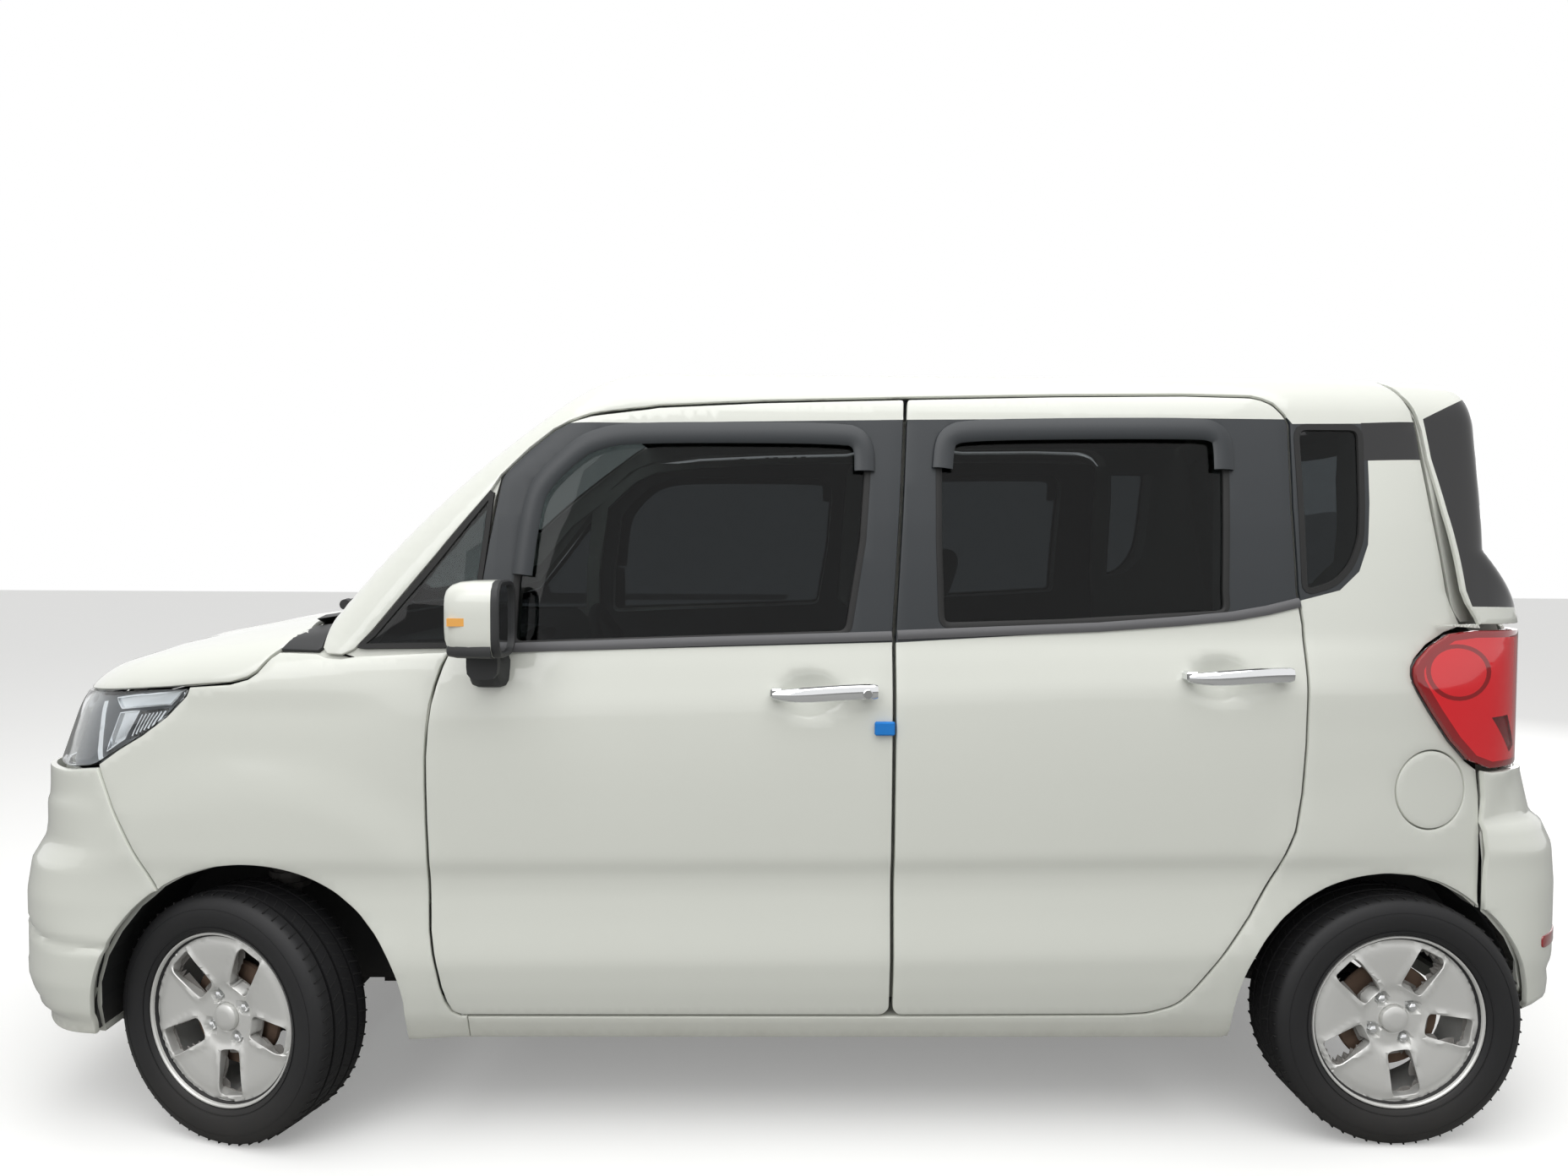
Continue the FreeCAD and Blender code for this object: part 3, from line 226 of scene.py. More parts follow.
# Charts: flat maps of parts of the surface. rays() gives origins and directions for (u, v),
# flat() takes points on the surface back to (u, v).
class SideChart:
    """x along the car and height; over the roof edge it turns about a line inside the cabin."""
    def pivot(self, x):
        return np.interp(x, [-1.1, -.98, -.75, -.5, -.3, 2.0], [.98, 1.02, 1.25, 1.42, 1.45, 1.45])

    def rays(self, uv):
        x, s = uv[:, 0], uv[:, 1]
        lift = self.pivot(x)
        turn = np.clip(s - lift, 0, .5) / .25
        o = np.stack([x, np.where(s < lift, 0, -.45), np.minimum(s, lift)], -1)
        d = np.stack([0 * x, -np.cos(turn), np.sin(turn)], -1)
        return o, d

    def flat(self, p):
        lift = self.pivot(p[:, 0])
        turn = np.arctan2(p[:, 2] - lift, np.abs(p[:, 1]) - .45)
        return np.stack([p[:, 0], np.where(p[:, 2] < lift, p[:, 2], lift + .25 * turn)], -1)


class RoundChart:
    """Angle round an upright line, times a radius, and height."""
    def __init__(self, centre, facing, radius=.75):
        self.centre, self.facing, self.radius = centre, facing, radius

    def rays(self, uv):
        t = uv[:, 0] / self.radius
        o = np.stack([np.full(len(t), self.centre), 0 * t, uv[:, 1]], -1)
        return o, np.stack([self.facing * np.cos(t), np.sin(t), 0 * t], -1)

    def flat(self, p):
        t = np.arctan2(p[:, 1], self.facing * (p[:, 0] - self.centre))
        return np.stack([t * self.radius, p[:, 2]], -1)


class PointChart:
    """Directions from one point inside, measured on a plane square to an axis."""
    def __init__(self, origin, axis, sign):
        self.origin, self.axis, self.sign = np.array(origin), axis, sign

    def others(self):
        return [a for a in range(3) if a != self.axis]

    def rays(self, uv):
        d = np.zeros((len(uv), 3))
        a, b = self.others()
        d[:, a], d[:, b], d[:, self.axis] = uv[:, 0], uv[:, 1], self.sign
        d /= np.linalg.norm(d, axis=1, keepdims=True)
        return np.repeat(self.origin[None], len(uv), 0), d

    def flat(self, p):
        q = p - self.origin
        a, b = self.others()
        k = 1 / (self.sign * q[:, self.axis])
        return np.stack([q[:, a] * k, q[:, b] * k], -1)


SIDE = SideChart()


def on_side(field, line):
    """Points of the left side view, x and z in metres, put on the surface."""
    p = np.array(line, float)
    o = np.stack([p[:, 0], 0 * p[:, 0], p[:, 1]], -1)
    return surface(field, o, np.repeat([[0., -1., 0.]], len(p), 0), 1.2)


def dense(line, gap, closed=True):
    """A line with points no farther apart than gap."""
    line = np.array(line, float)
    pts = np.vstack([line, line[:1]]) if closed else line
    out = []
    for a, b in zip(pts[:-1], pts[1:]):
        n = max(1, int(math.ceil(np.linalg.norm(b - a) / gap)))
        out += [a + (b - a) * i / n for i in range(n)]
    if not closed:
        out.append(pts[-1])
    return np.array(out)


def area(line):
    """The signed area of a closed outline, positive when it runs anticlockwise."""
    x, y = line[:, 0], line[:, 1]
    return .5 * (x * np.roll(y, -1) - y * np.roll(x, -1)).sum()


def anticlockwise(line):
    """A closed outline, turned to run anticlockwise."""
    return line if area(line) > 0 else line[::-1]


def rounded(line, radius, parts=5):
    """The corners of a closed outline turned into short curves."""
    line = np.array(line, float)
    out = []
    n = len(line)
    for i in range(n):
        a, b, c = line[i - 1], line[i], line[(i + 1) % n]
        u, v = a - b, c - b
        lu, lv = np.linalg.norm(u), np.linalg.norm(v)
        turn = math.degrees(math.acos(np.clip(-(u @ v) / (lu * lv + 1e-12), -1, 1)))
        if turn < 12:
            out.append(b)
            continue
        r = min(radius, lu * .45, lv * .45)
        p, q = b + u / lu * r, b + v / lv * r
        for t in np.linspace(0, 1, parts):
            out.append((1 - t) ** 2 * p + 2 * t * (1 - t) * b + t * t * q)
    return np.array(out)


def inset(line, depth):
    """A closed outline moved to its left by depth, which is inwards when it runs anticlockwise."""
    before, after = np.roll(line, 1, axis=0), np.roll(line, -1, axis=0)
    way = after - before
    way /= np.maximum(np.linalg.norm(way, axis=1, keepdims=True), 1e-9)
    return line + np.stack([-way[:, 1], way[:, 0]], -1) * depth


def inside(line, p):
    """Which points lie inside a closed outline."""
    x, y = p[:, 0][:, None], p[:, 1][:, None]
    a, b = line, np.roll(line, -1, axis=0)
    cross = (a[None, :, 1] > y) != (b[None, :, 1] > y)
    rise = np.where(b[:, 1] == a[:, 1], 1e-12, b[:, 1] - a[:, 1])[None]
    at = a[None, :, 0] + (y - a[None, :, 1]) * (b[:, 0] - a[:, 0])[None] / rise
    return (cross & (x < at)).sum(1) % 2 == 1


class Sheet:
    """Vertices, faces and material numbers that are gathered before a mesh is made."""
    def __init__(self):
        self.v, self.f, self.m = [], [], []

    def add(self, verts, faces, slot=0):
        base = len(self.v)
        self.v += [tuple(map(float, v)) for v in verts]
        self.f += [tuple(int(base + i) for i in f) for f in faces]
        self.m += list(slot) if hasattr(slot, "__len__") else [slot] * len(faces)
        return self

    def join(self, other, shift=0):
        return self.add(other.v, other.f, [m + shift for m in other.m])

    def mirrored(self):
        twin = Sheet()
        twin.v = [(x, -y, z) for x, y, z in self.v]
        twin.f = [f[::-1] for f in self.f]
        twin.m = list(self.m)
        return twin

    def piece(self, name, materials, angle=35):
        mesh = bpy.data.meshes.new(name)
        mesh.from_pydata(self.v, [], self.f)
        for material in materials:
            mesh.materials.append(material)
        mesh.polygons.foreach_set("material_index", self.m)
        mesh.validate()
        mesh.shade_smooth()
        mesh.set_sharp_from_angle(angle=math.radians(angle))
        mesh.update()
        piece = bpy.data.objects.new(name, mesh)
        bpy.context.scene.collection.objects.link(piece)
        return piece


def skin(field, chart, loops, grid=(.03, .012), rim=.003, thick=.0025, sink=0., regions=(),
         bulge=None, slots=(0, 0)):
    """A closed thin panel on the surface. loops: outline first, then holes, in chart units."""
    rings, edges, points, depth = [], [], [], []

    def run(line, drop):
        base, n = len(points), len(line)
        points.extend(line)
        depth.extend([drop] * n)
        edges.extend((base + i, base + (i + 1) % n) for i in range(n))

    for number, loop in enumerate(loops):
        loop = np.array(loop)
        if (area(loop) > 0) != (number == 0):
            loop = loop[::-1]
        loop = dense(loop, max(min(grid), .008))
        rings.append(loop)
        run(loop, rim)
        run(inset(loop, rim * .35), rim * .25)
        run(inset(loop, rim * 1.2), 0)
    for line, _ in regions:
        run(dense(line, .02), 0)
    ring0 = rings[0]
    lo, hi = ring0.min(0), ring0.max(0)
    gx, gy = np.meshgrid(np.arange(lo[0], hi[0], grid[0]), np.arange(lo[1], hi[1], grid[1]))
    fill = np.stack([gx.ravel() + .0003, gy.ravel() + .0002], -1)
    keep = inside(inset(ring0, rim * 1.2 + min(grid) * .4), fill)
    for hole in rings[1:]:
        keep &= ~inside(inset(hole, rim * 1.2 + min(grid) * .4), fill)
    points += list(fill[keep])
    depth += [0] * int(keep.sum())
    done = delaunay_2d_cdt([Vector(p) for p in points], edges, [], 0, 1e-6, True)
    flat = np.array([tuple(v) for v in done[0]])
    tris = np.array([f for f in done[2] if len(f) == 3])
    centre = flat[tris].mean(1)
    good = inside(ring0, centre)
    for hole in rings[1:]:
        good &= ~inside(hole, centre)
    tris, centre = tris[good], centre[good]
    drop = np.zeros(len(flat))
    for i, source in enumerate(done[3]):
        drop[i] = max([depth[s] for s in source], default=0)
    o, d = chart.rays(flat)
    p = surface(field, o, d)
    n = outward(field, p)
    if bulge is not None:
        p = p + n * bulge(p)[:, None]
    front = p - n * (drop + sink)[:, None]
    back = p - n * (thick + rim + sink)
    face_n = np.cross(front[tris[:, 1]] - front[tris[:, 0]], front[tris[:, 2]] - front[tris[:, 0]])
    wrong = (face_n * n[tris[:, 0]]).sum(1) < 0
    tris[wrong] = tris[wrong][:, ::-1]
    mats = np.full(len(tris), slots[0])
    for line, slot in regions:
        mats[inside(np.array(line), centre)] = slot
    sheet = Sheet()
    used = np.unique(tris)
    seen = -np.ones(len(flat), int)
    seen[used] = np.arange(len(used))
    t = seen[tris]
    count = len(used)
    faces = [tuple(f) for f in t] + [tuple(f[::-1] + count) for f in t]
    slots_all = list(mats) + [slots[1]] * len(t)
    pairs = {}
    for k, f in enumerate(t):
        for a, b in ((f[0], f[1]), (f[1], f[2]), (f[2], f[0])):
            if (b, a) in pairs:
                del pairs[(b, a)]
            else:
                pairs[(a, b)] = k
    for (a, b), k in pairs.items():
        faces.append((b, a, a + count, b + count))
        slots_all.append(mats[k])
    sheet.add(np.vstack([front[used], back[used]]), faces, slots_all)
    return sheet


# Shader groups that several finishes share
def node_group(name, ins, outs):
    """An empty shader group with its sockets."""
    tree = bpy.data.node_groups.new(name, "ShaderNodeTree")
    for label, kind, value in ins:
        socket = tree.interface.new_socket(label, in_out="INPUT", socket_type=kind)
        if value is not None:
            socket.default_value = value
    for label, kind in outs:
        tree.interface.new_socket(label, in_out="OUTPUT", socket_type=kind)
    return tree, tree.nodes.new("NodeGroupInput"), tree.nodes.new("NodeGroupOutput")


def math_node(tree, operation, a, b=None, clamp=False):
    """A math node; each input is a number or a socket."""
    node = tree.nodes.new("ShaderNodeMath")
    node.operation, node.use_clamp = operation, clamp
    for socket, value in zip(node.inputs, (a, b)):
        if value is None:
            continue
        if isinstance(value, (int, float)):
            socket.default_value = value
        else:
            tree.links.new(value, socket)
    return node.outputs[0]


def mix_node(tree, a, b, factor):
    """A colour mix; each input is a colour or a socket."""
    node = tree.nodes.new("ShaderNodeMix")
    node.data_type = "RGBA"
    for label, value in (("A", a), ("B", b), ("Factor", factor)):
        if isinstance(value, tuple):
            node.inputs[label].default_value = value
        else:
            tree.links.new(value, node.inputs[label])
    return node.outputs["Result"]


def use_group(tree, group, vector, **values):
    """A shared group in a finish; gives its outputs."""
    node = tree.nodes.new("ShaderNodeGroup")
    node.node_tree = group
    tree.links.new(vector, node.inputs["Vector"])
    for label, value in values.items():
        node.inputs[label].default_value = value
    return node.outputs


def noise_node(tree, vector, scale, detail=3.0, rough=.5):
    node = tree.nodes.new("ShaderNodeTexNoise")
    node.inputs["Detail"].default_value = detail
    node.inputs["Roughness"].default_value = rough
    if isinstance(scale, (int, float)):
        node.inputs["Scale"].default_value = scale
    else:
        tree.links.new(scale, node.inputs["Scale"])
    tree.links.new(vector, node.inputs["Vector"])
    return node.outputs["Fac"]


def grain_group():
    tree, i, o = node_group("fine_grain", [
        ("Vector", "NodeSocketVector", None), ("Scale", "NodeSocketFloat", 600.0),
        ("Strength", "NodeSocketFloat", .2), ("Depth", "NodeSocketFloat", .0005)],
        [("Normal", "NodeSocketVector"), ("Mask", "NodeSocketFloat")])
    fac = noise_node(tree, i.outputs["Vector"], i.outputs["Scale"], 3)
    bump = tree.nodes.new("ShaderNodeBump")
    tree.links.new(fac, bump.inputs["Height"])
    tree.links.new(i.outputs["Strength"], bump.inputs["Strength"])
    tree.links.new(i.outputs["Depth"], bump.inputs["Distance"])
    tree.links.new(bump.outputs[0], o.inputs["Normal"])
    tree.links.new(fac, o.inputs["Mask"])
    return tree


def road_dirt_group():
    tree, i, o = node_group("road_dirt", [
        ("Vector", "NodeSocketVector", None), ("Level", "NodeSocketFloat", .36),
        ("Spread", "NodeSocketFloat", .18), ("Amount", "NodeSocketFloat", .5)],
        [("Mask", "NodeSocketFloat")])
    split = tree.nodes.new("ShaderNodeSeparateXYZ")
    tree.links.new(i.outputs["Vector"], split.inputs[0])
    drop = math_node(tree, "SUBTRACT", i.outputs["Level"], split.outputs["Z"])
    drop = math_node(tree, "DIVIDE", drop, i.outputs["Spread"], True)
    fine = noise_node(tree, i.outputs["Vector"], 9.0, 6, .65)
    streak = math_node(tree, "MULTIPLY", drop, fine)
    streak = math_node(tree, "MULTIPLY", streak, i.outputs["Amount"], True)
    tree.links.new(streak, o.inputs["Mask"])
    return tree


def weave_group():
    tree, i, o = node_group("cloth_weave", [
        ("Vector", "NodeSocketVector", None), ("Scale", "NodeSocketFloat", 900.0),
        ("Strength", "NodeSocketFloat", .4)],
        [("Normal", "NodeSocketVector"), ("Mask", "NodeSocketFloat")])
    split = tree.nodes.new("ShaderNodeSeparateXYZ")
    tree.links.new(i.outputs["Vector"], split.inputs[0])
    waves = []
    across = math_node(tree, "ADD", split.outputs["X"], split.outputs["Z"])
    for source in (across, split.outputs["Y"]):
        turn = math_node(tree, "MULTIPLY", source, i.outputs["Scale"])
        waves.append(math_node(tree, "SINE", turn))
    both = math_node(tree, "MULTIPLY", waves[0], waves[1])
    both = math_node(tree, "MULTIPLY_ADD", both, .5)
    both.node.inputs[2].default_value = .5
    bump = tree.nodes.new("ShaderNodeBump")
    bump.inputs["Distance"].default_value = .0006
    tree.links.new(both, bump.inputs["Height"])
    tree.links.new(i.outputs["Strength"], bump.inputs["Strength"])
    tree.links.new(bump.outputs[0], o.inputs["Normal"])
    tree.links.new(both, o.inputs["Mask"])
    return tree


GRAIN, DIRT, WEAVE = grain_group(), road_dirt_group(), weave_group()


def finish(name, color, rough=.5, metal=0., grain=None, dirt=None, weave=None, vary=.06,
           vary_scale=3.0, coat=0., transmission=0., ior=1.45, sheen=0., glow=0.):
    """A surface finish: base colour with slow variation, plus grain, weave and road dirt."""
    material = bpy.data.materials.new(name)
    material.use_nodes = True
    tree = material.node_tree
    shader = tree.nodes["Principled BSDF"]
    for label, value in (("Metallic", metal), ("Roughness", rough), ("IOR", ior), ("Coat Weight", coat),
                         ("Coat Roughness", .04), ("Transmission Weight", transmission),
                         ("Sheen Weight", sheen)):
        shader.inputs[label].default_value = value
    if glow:
        shader.inputs["Emission Color"].default_value = (*color, 1)
        shader.inputs["Emission Strength"].default_value = glow
    place = tree.nodes.new("ShaderNodeTexCoord").outputs["Object"]
    low = (*[c * (1 - vary) for c in color], 1)
    high = (*[min(1, c * (1 + vary)) for c in color], 1)
    out = mix_node(tree, low, high, noise_node(tree, place, vary_scale, 4))
    if weave:
        cloth = use_group(tree, WEAVE, place, Scale=weave[0], Strength=weave[1])
        tree.links.new(cloth["Normal"], shader.inputs["Normal"])
        thread = (*[min(1, c * 1.7 + .01) for c in color], 1)
        out = mix_node(tree, out, thread, math_node(tree, "MULTIPLY", cloth["Mask"], .6))
    if grain:
        fine = use_group(tree, GRAIN, place, Scale=grain[0], Strength=grain[1])
        tree.links.new(fine["Normal"], shader.inputs["Normal"])
    if dirt:
        soil = use_group(tree, DIRT, place, Level=dirt[0], Spread=dirt[1], Amount=dirt[2])["Mask"]
        out = mix_node(tree, out, (.30, .26, .20, 1), soil)
        dull = math_node(tree, "MULTIPLY", soil, .8 - rough)
        tree.links.new(math_node(tree, "ADD", dull, rough), shader.inputs["Roughness"])
    tree.links.new(out, shader.inputs["Base Color"])
    return material


PAINT = finish("warm_white_paint", (.72, .735, .675), .34, coat=.8, grain=(1400, .015),
               dirt=(.30, .10, .55), vary=.012)
# The body paint darkened to about 0.89 of its colour as painted shade, for door jambs, shut-line walls and
# the hidden inner sides of panels; its road dirt is dirt
SHADED_JAMB = finish("shaded_jamb_paint", (.64, .65, .60), .4, grain=(900, .03), dirt=(.34, .2, .5), vary=.02)
FRAME_BLACK = finish("satin_black_film", (.030, .034, .038), .42, grain=(1800, .05), vary=.05)
GLOSS_BLACK = finish("gloss_black", (.006, .006, .007), .08, coat=.5, vary=.05)
TRIM = finish("grained_black_plastic", (.028, .029, .030), .55, grain=(1500, .22), vary=.08,
              dirt=(.30, .2, .3))
RUBBER = finish("seal_rubber", (.012, .012, .012), .65, grain=(2200, .12), vary=.1)
SIDE_GLASS = finish("dark_side_glass", (.11, .12, .125), .0, transmission=1.0, ior=1.28, vary=.01)
SCREEN_GLASS = finish("screen_glass", (.62, .70, .67), .0, transmission=1.0, ior=1.5, vary=.01)
CHROME = finish("bright_chrome", (.78, .79, .80), .07, 1.0, vary=.02)
ALLOY = finish("silver_alloy", (.68, .68, .66), .40, .50, grain=(2600, .05), vary=.05,
               dirt=(.28, .5, .22), coat=.25)
RIM_DARK = finish("shaded_barrel", (.22, .21, .20), .5, .5, vary=.2, vary_scale=20)
TYRE = finish("tyre_rubber", (.010, .010, .011), .60, grain=(1300, .16), vary=.18, vary_scale=14,
              dirt=(.20, .3, .12))
BRAKE = finish("rusted_brake", (.13, .085, .06), .8, .3, grain=(500, .4), vary=.4, vary_scale=30)
STEEL = finish("dull_steel", (.40, .39, .37), .38, .85, grain=(700, .1), vary=.2, vary_scale=18)
UNDERBODY = finish("underbody_coat", (.035, .034, .033), .8, grain=(260, .5), vary=.3, vary_scale=9)
CLOTH = finish("seat_cloth", (.055, .056, .060), .9, weave=(2600, .55), vary=.12, sheen=.35)
CLOTH_SIDE = finish("seat_side_cloth", (.022, .022, .024), .8, weave=(4200, .35), vary=.1, sheen=.2)
LINING = finish("roof_lining", (.42, .41, .385), .95, grain=(1500, .3), vary=.04, sheen=.3)
DASH_TOP = finish("dash_plastic", (.030, .030, .032), .62, grain=(1100, .3), vary=.06)
LIGHT_TRIM = finish("grey_cabin_plastic", (.12, .12, .125), .6, grain=(1100, .25), vary=.05)
LENS = finish("clear_lens", (.93, .95, .96), .02, transmission=1.0, ior=1.46, vary=.0)
RED_LENS = finish("red_lens", (.34, .004, .008), .05, transmission=.15, ior=1.46, vary=.03, coat=1.)
RED_GLOW = finish("red_reflector", (.72, .010, .018), .16, vary=.10, glow=.06, coat=1.)
LAMP_SILVER = finish("lamp_reflector", (.84, .86, .88), .12, .9, vary=.05, vary_scale=30)
LAMP_GREY = finish("lamp_bezel", (.13, .14, .15), .3, .4, vary=.05)
WHITE_BAR = finish("light_guide", (.86, .89, .91), .2, vary=.02, glow=.12, coat=.6)
AMBER = finish("amber_bulb", (.85, .42, .10), .25, vary=.05)
CAST = finish("cast_iron", (.10, .095, .09), .75, .4, grain=(420, .5), vary=.3, vary_scale=25)
PLATE = finish("blank_plate", (.75, .76, .74), .35, grain=(900, .03), vary=.02)
TREAD_CUT = finish("tread_groove", (.009, .009, .009), .85, grain=(900, .2), vary=.2)
FOAM = finish("blue_foam", (.012, .20, .62), .8, grain=(900, .5), vary=.08)


def stage():
    """A pale floor that lights the car less than it shows, soft panels and a plain world."""
    floor = finish("pale_floor", (.84, .84, .83), .85, grain=(300, .05), vary=.01, glow=.24)
    bpy.ops.mesh.primitive_plane_add(size=60, location=(0, 0, 0))
    ground = bpy.context.object
    ground.name = "studio_floor"
    tree, shader = floor.node_tree, floor.node_tree.nodes["Principled BSDF"]
    camera_ray = tree.nodes.new("ShaderNodeLightPath").outputs["Is Camera Ray"]
    seen = shader.inputs["Base Color"].links[0].from_socket
    tree.links.new(mix_node(tree, (.33, .33, .32, 1), seen, camera_ray), shader.inputs["Base Color"])
    glow = math_node(tree, "MULTIPLY", camera_ray, .30)
    tree.links.new(glow, shader.inputs["Emission Strength"])
    ground.data.materials.append(floor)
    world = bpy.data.worlds.new("soft_studio")
    world.use_nodes = True
    bpy.context.scene.world = world
    tree = world.node_tree
    back = tree.nodes["Background"]
    back.inputs["Color"].default_value = (1, 1, 1, 1)
    path = tree.nodes.new("ShaderNodeLightPath")
    seen = math_node(tree, "MAXIMUM", path.outputs["Is Camera Ray"], path.outputs["Is Transmission Ray"])
    seen = math_node(tree, "MAXIMUM", seen, path.outputs["Is Glossy Ray"])
    level = math_node(tree, "MULTIPLY_ADD", seen, .50)
    level.node.inputs[2].default_value = .50
    tree.links.new(level, back.inputs["Strength"])
    for name, at, aim, size, power in (
        ("sky_panel", (0, -2.2, 5.5), (0, 0, .6), 6.0, 250),
        ("near_panel", (-3.5, -6.5, 4.2), (0, 0, .8), 4.0, 110),
        ("far_panel", (4.5, 5.0, 3.5), (0, 0, .8), 4.0, 90),
    ):
        lamp = bpy.data.lights.new(name, "AREA")
        lamp.size, lamp.energy = size, power
        obj = bpy.data.objects.new(name, lamp)
        obj.location = at
        obj.rotation_euler = (Vector(aim) - Vector(at)).to_track_quat("-Z", "Y").to_euler()
        bpy.context.scene.collection.objects.link(obj)


def camera():
    """The viewing angle of the reference picture, which is 1856 by 1392."""
    yaw, pitch, roll = -.01178, .033, .006
    ahead = Vector((-math.sin(yaw), math.cos(yaw), 0))
    right = Vector((math.cos(yaw), math.sin(yaw), 0))
    look = ahead * math.cos(pitch) - Vector((0, 0, math.sin(pitch)))
    up = ahead * math.sin(pitch) + Vector((0, 0, math.cos(pitch)))
    side = right * math.cos(roll) + up * math.sin(roll)
    top = up * math.cos(roll) - right * math.sin(roll)
    lens = bpy.data.cameras.new("photo_camera")
    lens.sensor_width, lens.lens = 36, 1290 * 36 / 1856
    obj = bpy.data.objects.new("photo_camera", lens)
    place = Matrix((side, top, -look)).transposed().to_4x4()
    place.translation = (-.03273, -3.09427, 1.28658)
    obj.matrix_world = place
    bpy.context.scene.collection.objects.link(obj)
    bpy.context.scene.camera = obj


stage()
camera()
scene = bpy.context.scene
scene.view_settings.view_transform = "Standard"


def rearward(field, points):
    """Where lines towards the back of the car, from points inside, leave the body."""
    return surface(field, np.array(points), np.repeat([[1., 0., 0.]], len(points), 0))


def facing(spot, way):
    """The place of a part that is made looking towards -y and is to look along a direction."""
    turn = Vector((0, -1, 0)).rotation_difference(Vector(way))
    return Matrix.Translation(spot) @ turn.to_matrix().to_4x4()


def put_on(field, chart, uv, lift=0.):
    """Chart points on the surface, lifted off it."""
    o, d = chart.rays(np.array(uv, float))
    p = surface(field, o, d)
    return p + outward(field, p) * lift


def ribbon(field, chart, line, profile, closed=False, gap=.012):
    """A strip whose cross-section (across, height off the surface) runs along a line."""
    line = dense(line, gap, closed)
    if closed:
        way = np.roll(line, -1, 0) - np.roll(line, 1, 0)
    else:
        way = np.gradient(line, axis=0)
    way /= np.maximum(np.linalg.norm(way, axis=1, keepdims=True), 1e-9)
    left = np.stack([-way[:, 1], way[:, 0]], -1)
    rings = []
    for across, height in profile:
        o, d = chart.rays(line + left * across)
        p = surface(field, o, d)
        rings.append(p + outward(field, p) * height)
    rings = np.array(rings)
    m, n = rings.shape[:2]
    faces = []
    for i in range(m):
        for j in range(n if closed else n - 1):
            a, b = i * n + j, i * n + (j + 1) % n
            c, d = ((i + 1) % m) * n + (j + 1) % n, ((i + 1) % m) * n + j
            faces.append((a, b, c, d))
    if not closed:
        faces.append(tuple(i * n for i in range(m)))
        faces.append(tuple(i * n + n - 1 for i in range(m))[::-1])
    return outwards(Sheet().add(rings.reshape(-1, 3), faces))


def outwards(sheet):
    """Turns a closed sheet the right way round by its volume."""
    v = np.array(sheet.v)
    total = 0.0
    for f in sheet.f:
        for i in range(1, len(f) - 1):
            total += v[f[0]] @ np.cross(v[f[i]], v[f[i + 1]])
    if total < 0:
        sheet.f = [f[::-1] for f in sheet.f]
    return sheet


def revolve(profile, segments=64, slots=None):
    """A closed ring from (distance along y, radius) points round the y axis."""
    profile = np.array(profile, float)
    m = len(profile)
    verts, faces, mats = [], [], []
    for j in range(segments):
        t = 2 * math.pi * j / segments
        for y, r in profile:
            verts.append((r * math.cos(t), y, r * math.sin(t)))
    for j in range(segments):
        k = (j + 1) % segments
        for i in range(m):
            q = (i + 1) % m
            if profile[i][1] < 1e-6 and profile[q][1] < 1e-6:
                continue
            faces.append((j * m + i, j * m + q, k * m + q, k * m + i))
            mats.append(slots[i] if slots else 0)
    return outwards(weld(Sheet().add(verts, faces, mats)))


def weld(sheet, tol=5):
    """Joins points that fall together, to tol decimals."""
    seen, index, verts = {}, [], []
    for v in sheet.v:
        key = tuple(round(c, tol) for c in v)
        if key not in seen:
            seen[key] = len(verts)
            verts.append(v)
        index.append(seen[key])
    faces, mats = [], []
    for f, m in zip(sheet.f, sheet.m):
        g = []
        for i in f:
            if not g or index[i] != g[-1]:
                g.append(index[i])
        if len(g) > 2 and g[0] == g[-1]:
            g = g[:-1]
        if len(set(g)) > 2:
            faces.append(tuple(g))
            mats.append(m)
    sheet.v, sheet.f, sheet.m = verts, faces, mats
    return sheet


def placed(sheet, matrix):
    """A sheet moved by a matrix."""
    out = Sheet()
    flip = matrix.to_3x3().determinant() < 0
    out.v = [tuple(matrix @ Vector(v)) for v in sheet.v]
    out.f = [f[::-1] for f in sheet.f] if flip else list(sheet.f)
    out.m = list(sheet.m)
    return out


def block(lo, hi, bevel=.004):
    """A box with rounded edges, between two corners."""
    lo, hi = np.array(lo, float), np.array(hi, float)
    b = min(bevel, *((hi - lo) / 2.01))
    verts, faces = [], []
    for sx in (0, 1):
        for sy in (0, 1):
            for sz in (0, 1):
                c = np.where([sx, sy, sz], hi, lo)
                for axis in range(3):
                    q = c.copy()
                    for other in range(3):
                        if other != axis:
                            q[other] += b if not (sx, sy, sz)[other] else -b
                    verts.append(q)
    faces += [(3 * i, 3 * i + 1, 3 * i + 2) for i in range(8)]
    for axis in range(3):
        others = [a for a in range(3) if a != axis]
        for side in (0, 1):
            quad = []
            for s, t in ((0, 0), (1, 0), (1, 1), (0, 1)):
                bits = [0, 0, 0]
                bits[axis], bits[others[0]], bits[others[1]] = side, s, t
                quad.append(3 * (bits[0] * 4 + bits[1] * 2 + bits[2]) + axis)
            faces.append(tuple(quad))
    for axis in range(3):
        others = [a for a in range(3) if a != axis]
        for s in (0, 1):
            for t in (0, 1):
                ends = []
                for e in (0, 1):
                    bits = [0, 0, 0]
                    bits[axis], bits[others[0]], bits[others[1]] = e, s, t
                    ends.append(3 * (bits[0] * 4 + bits[1] * 2 + bits[2]))
                faces.append((ends[0] + others[0], ends[1] + others[0],
                              ends[1] + others[1], ends[0] + others[1]))
    sheet = Sheet().add(verts, faces)
    centre = (lo + hi) / 2
    v = np.array(sheet.v)
    fixed = []
    for f in sheet.f:
        n = np.cross(v[f[1]] - v[f[0]], v[f[2]] - v[f[0]])
        fixed.append(f if n @ (v[list(f)].mean(0) - centre) > 0 else f[::-1])
    sheet.f = fixed
    return sheet


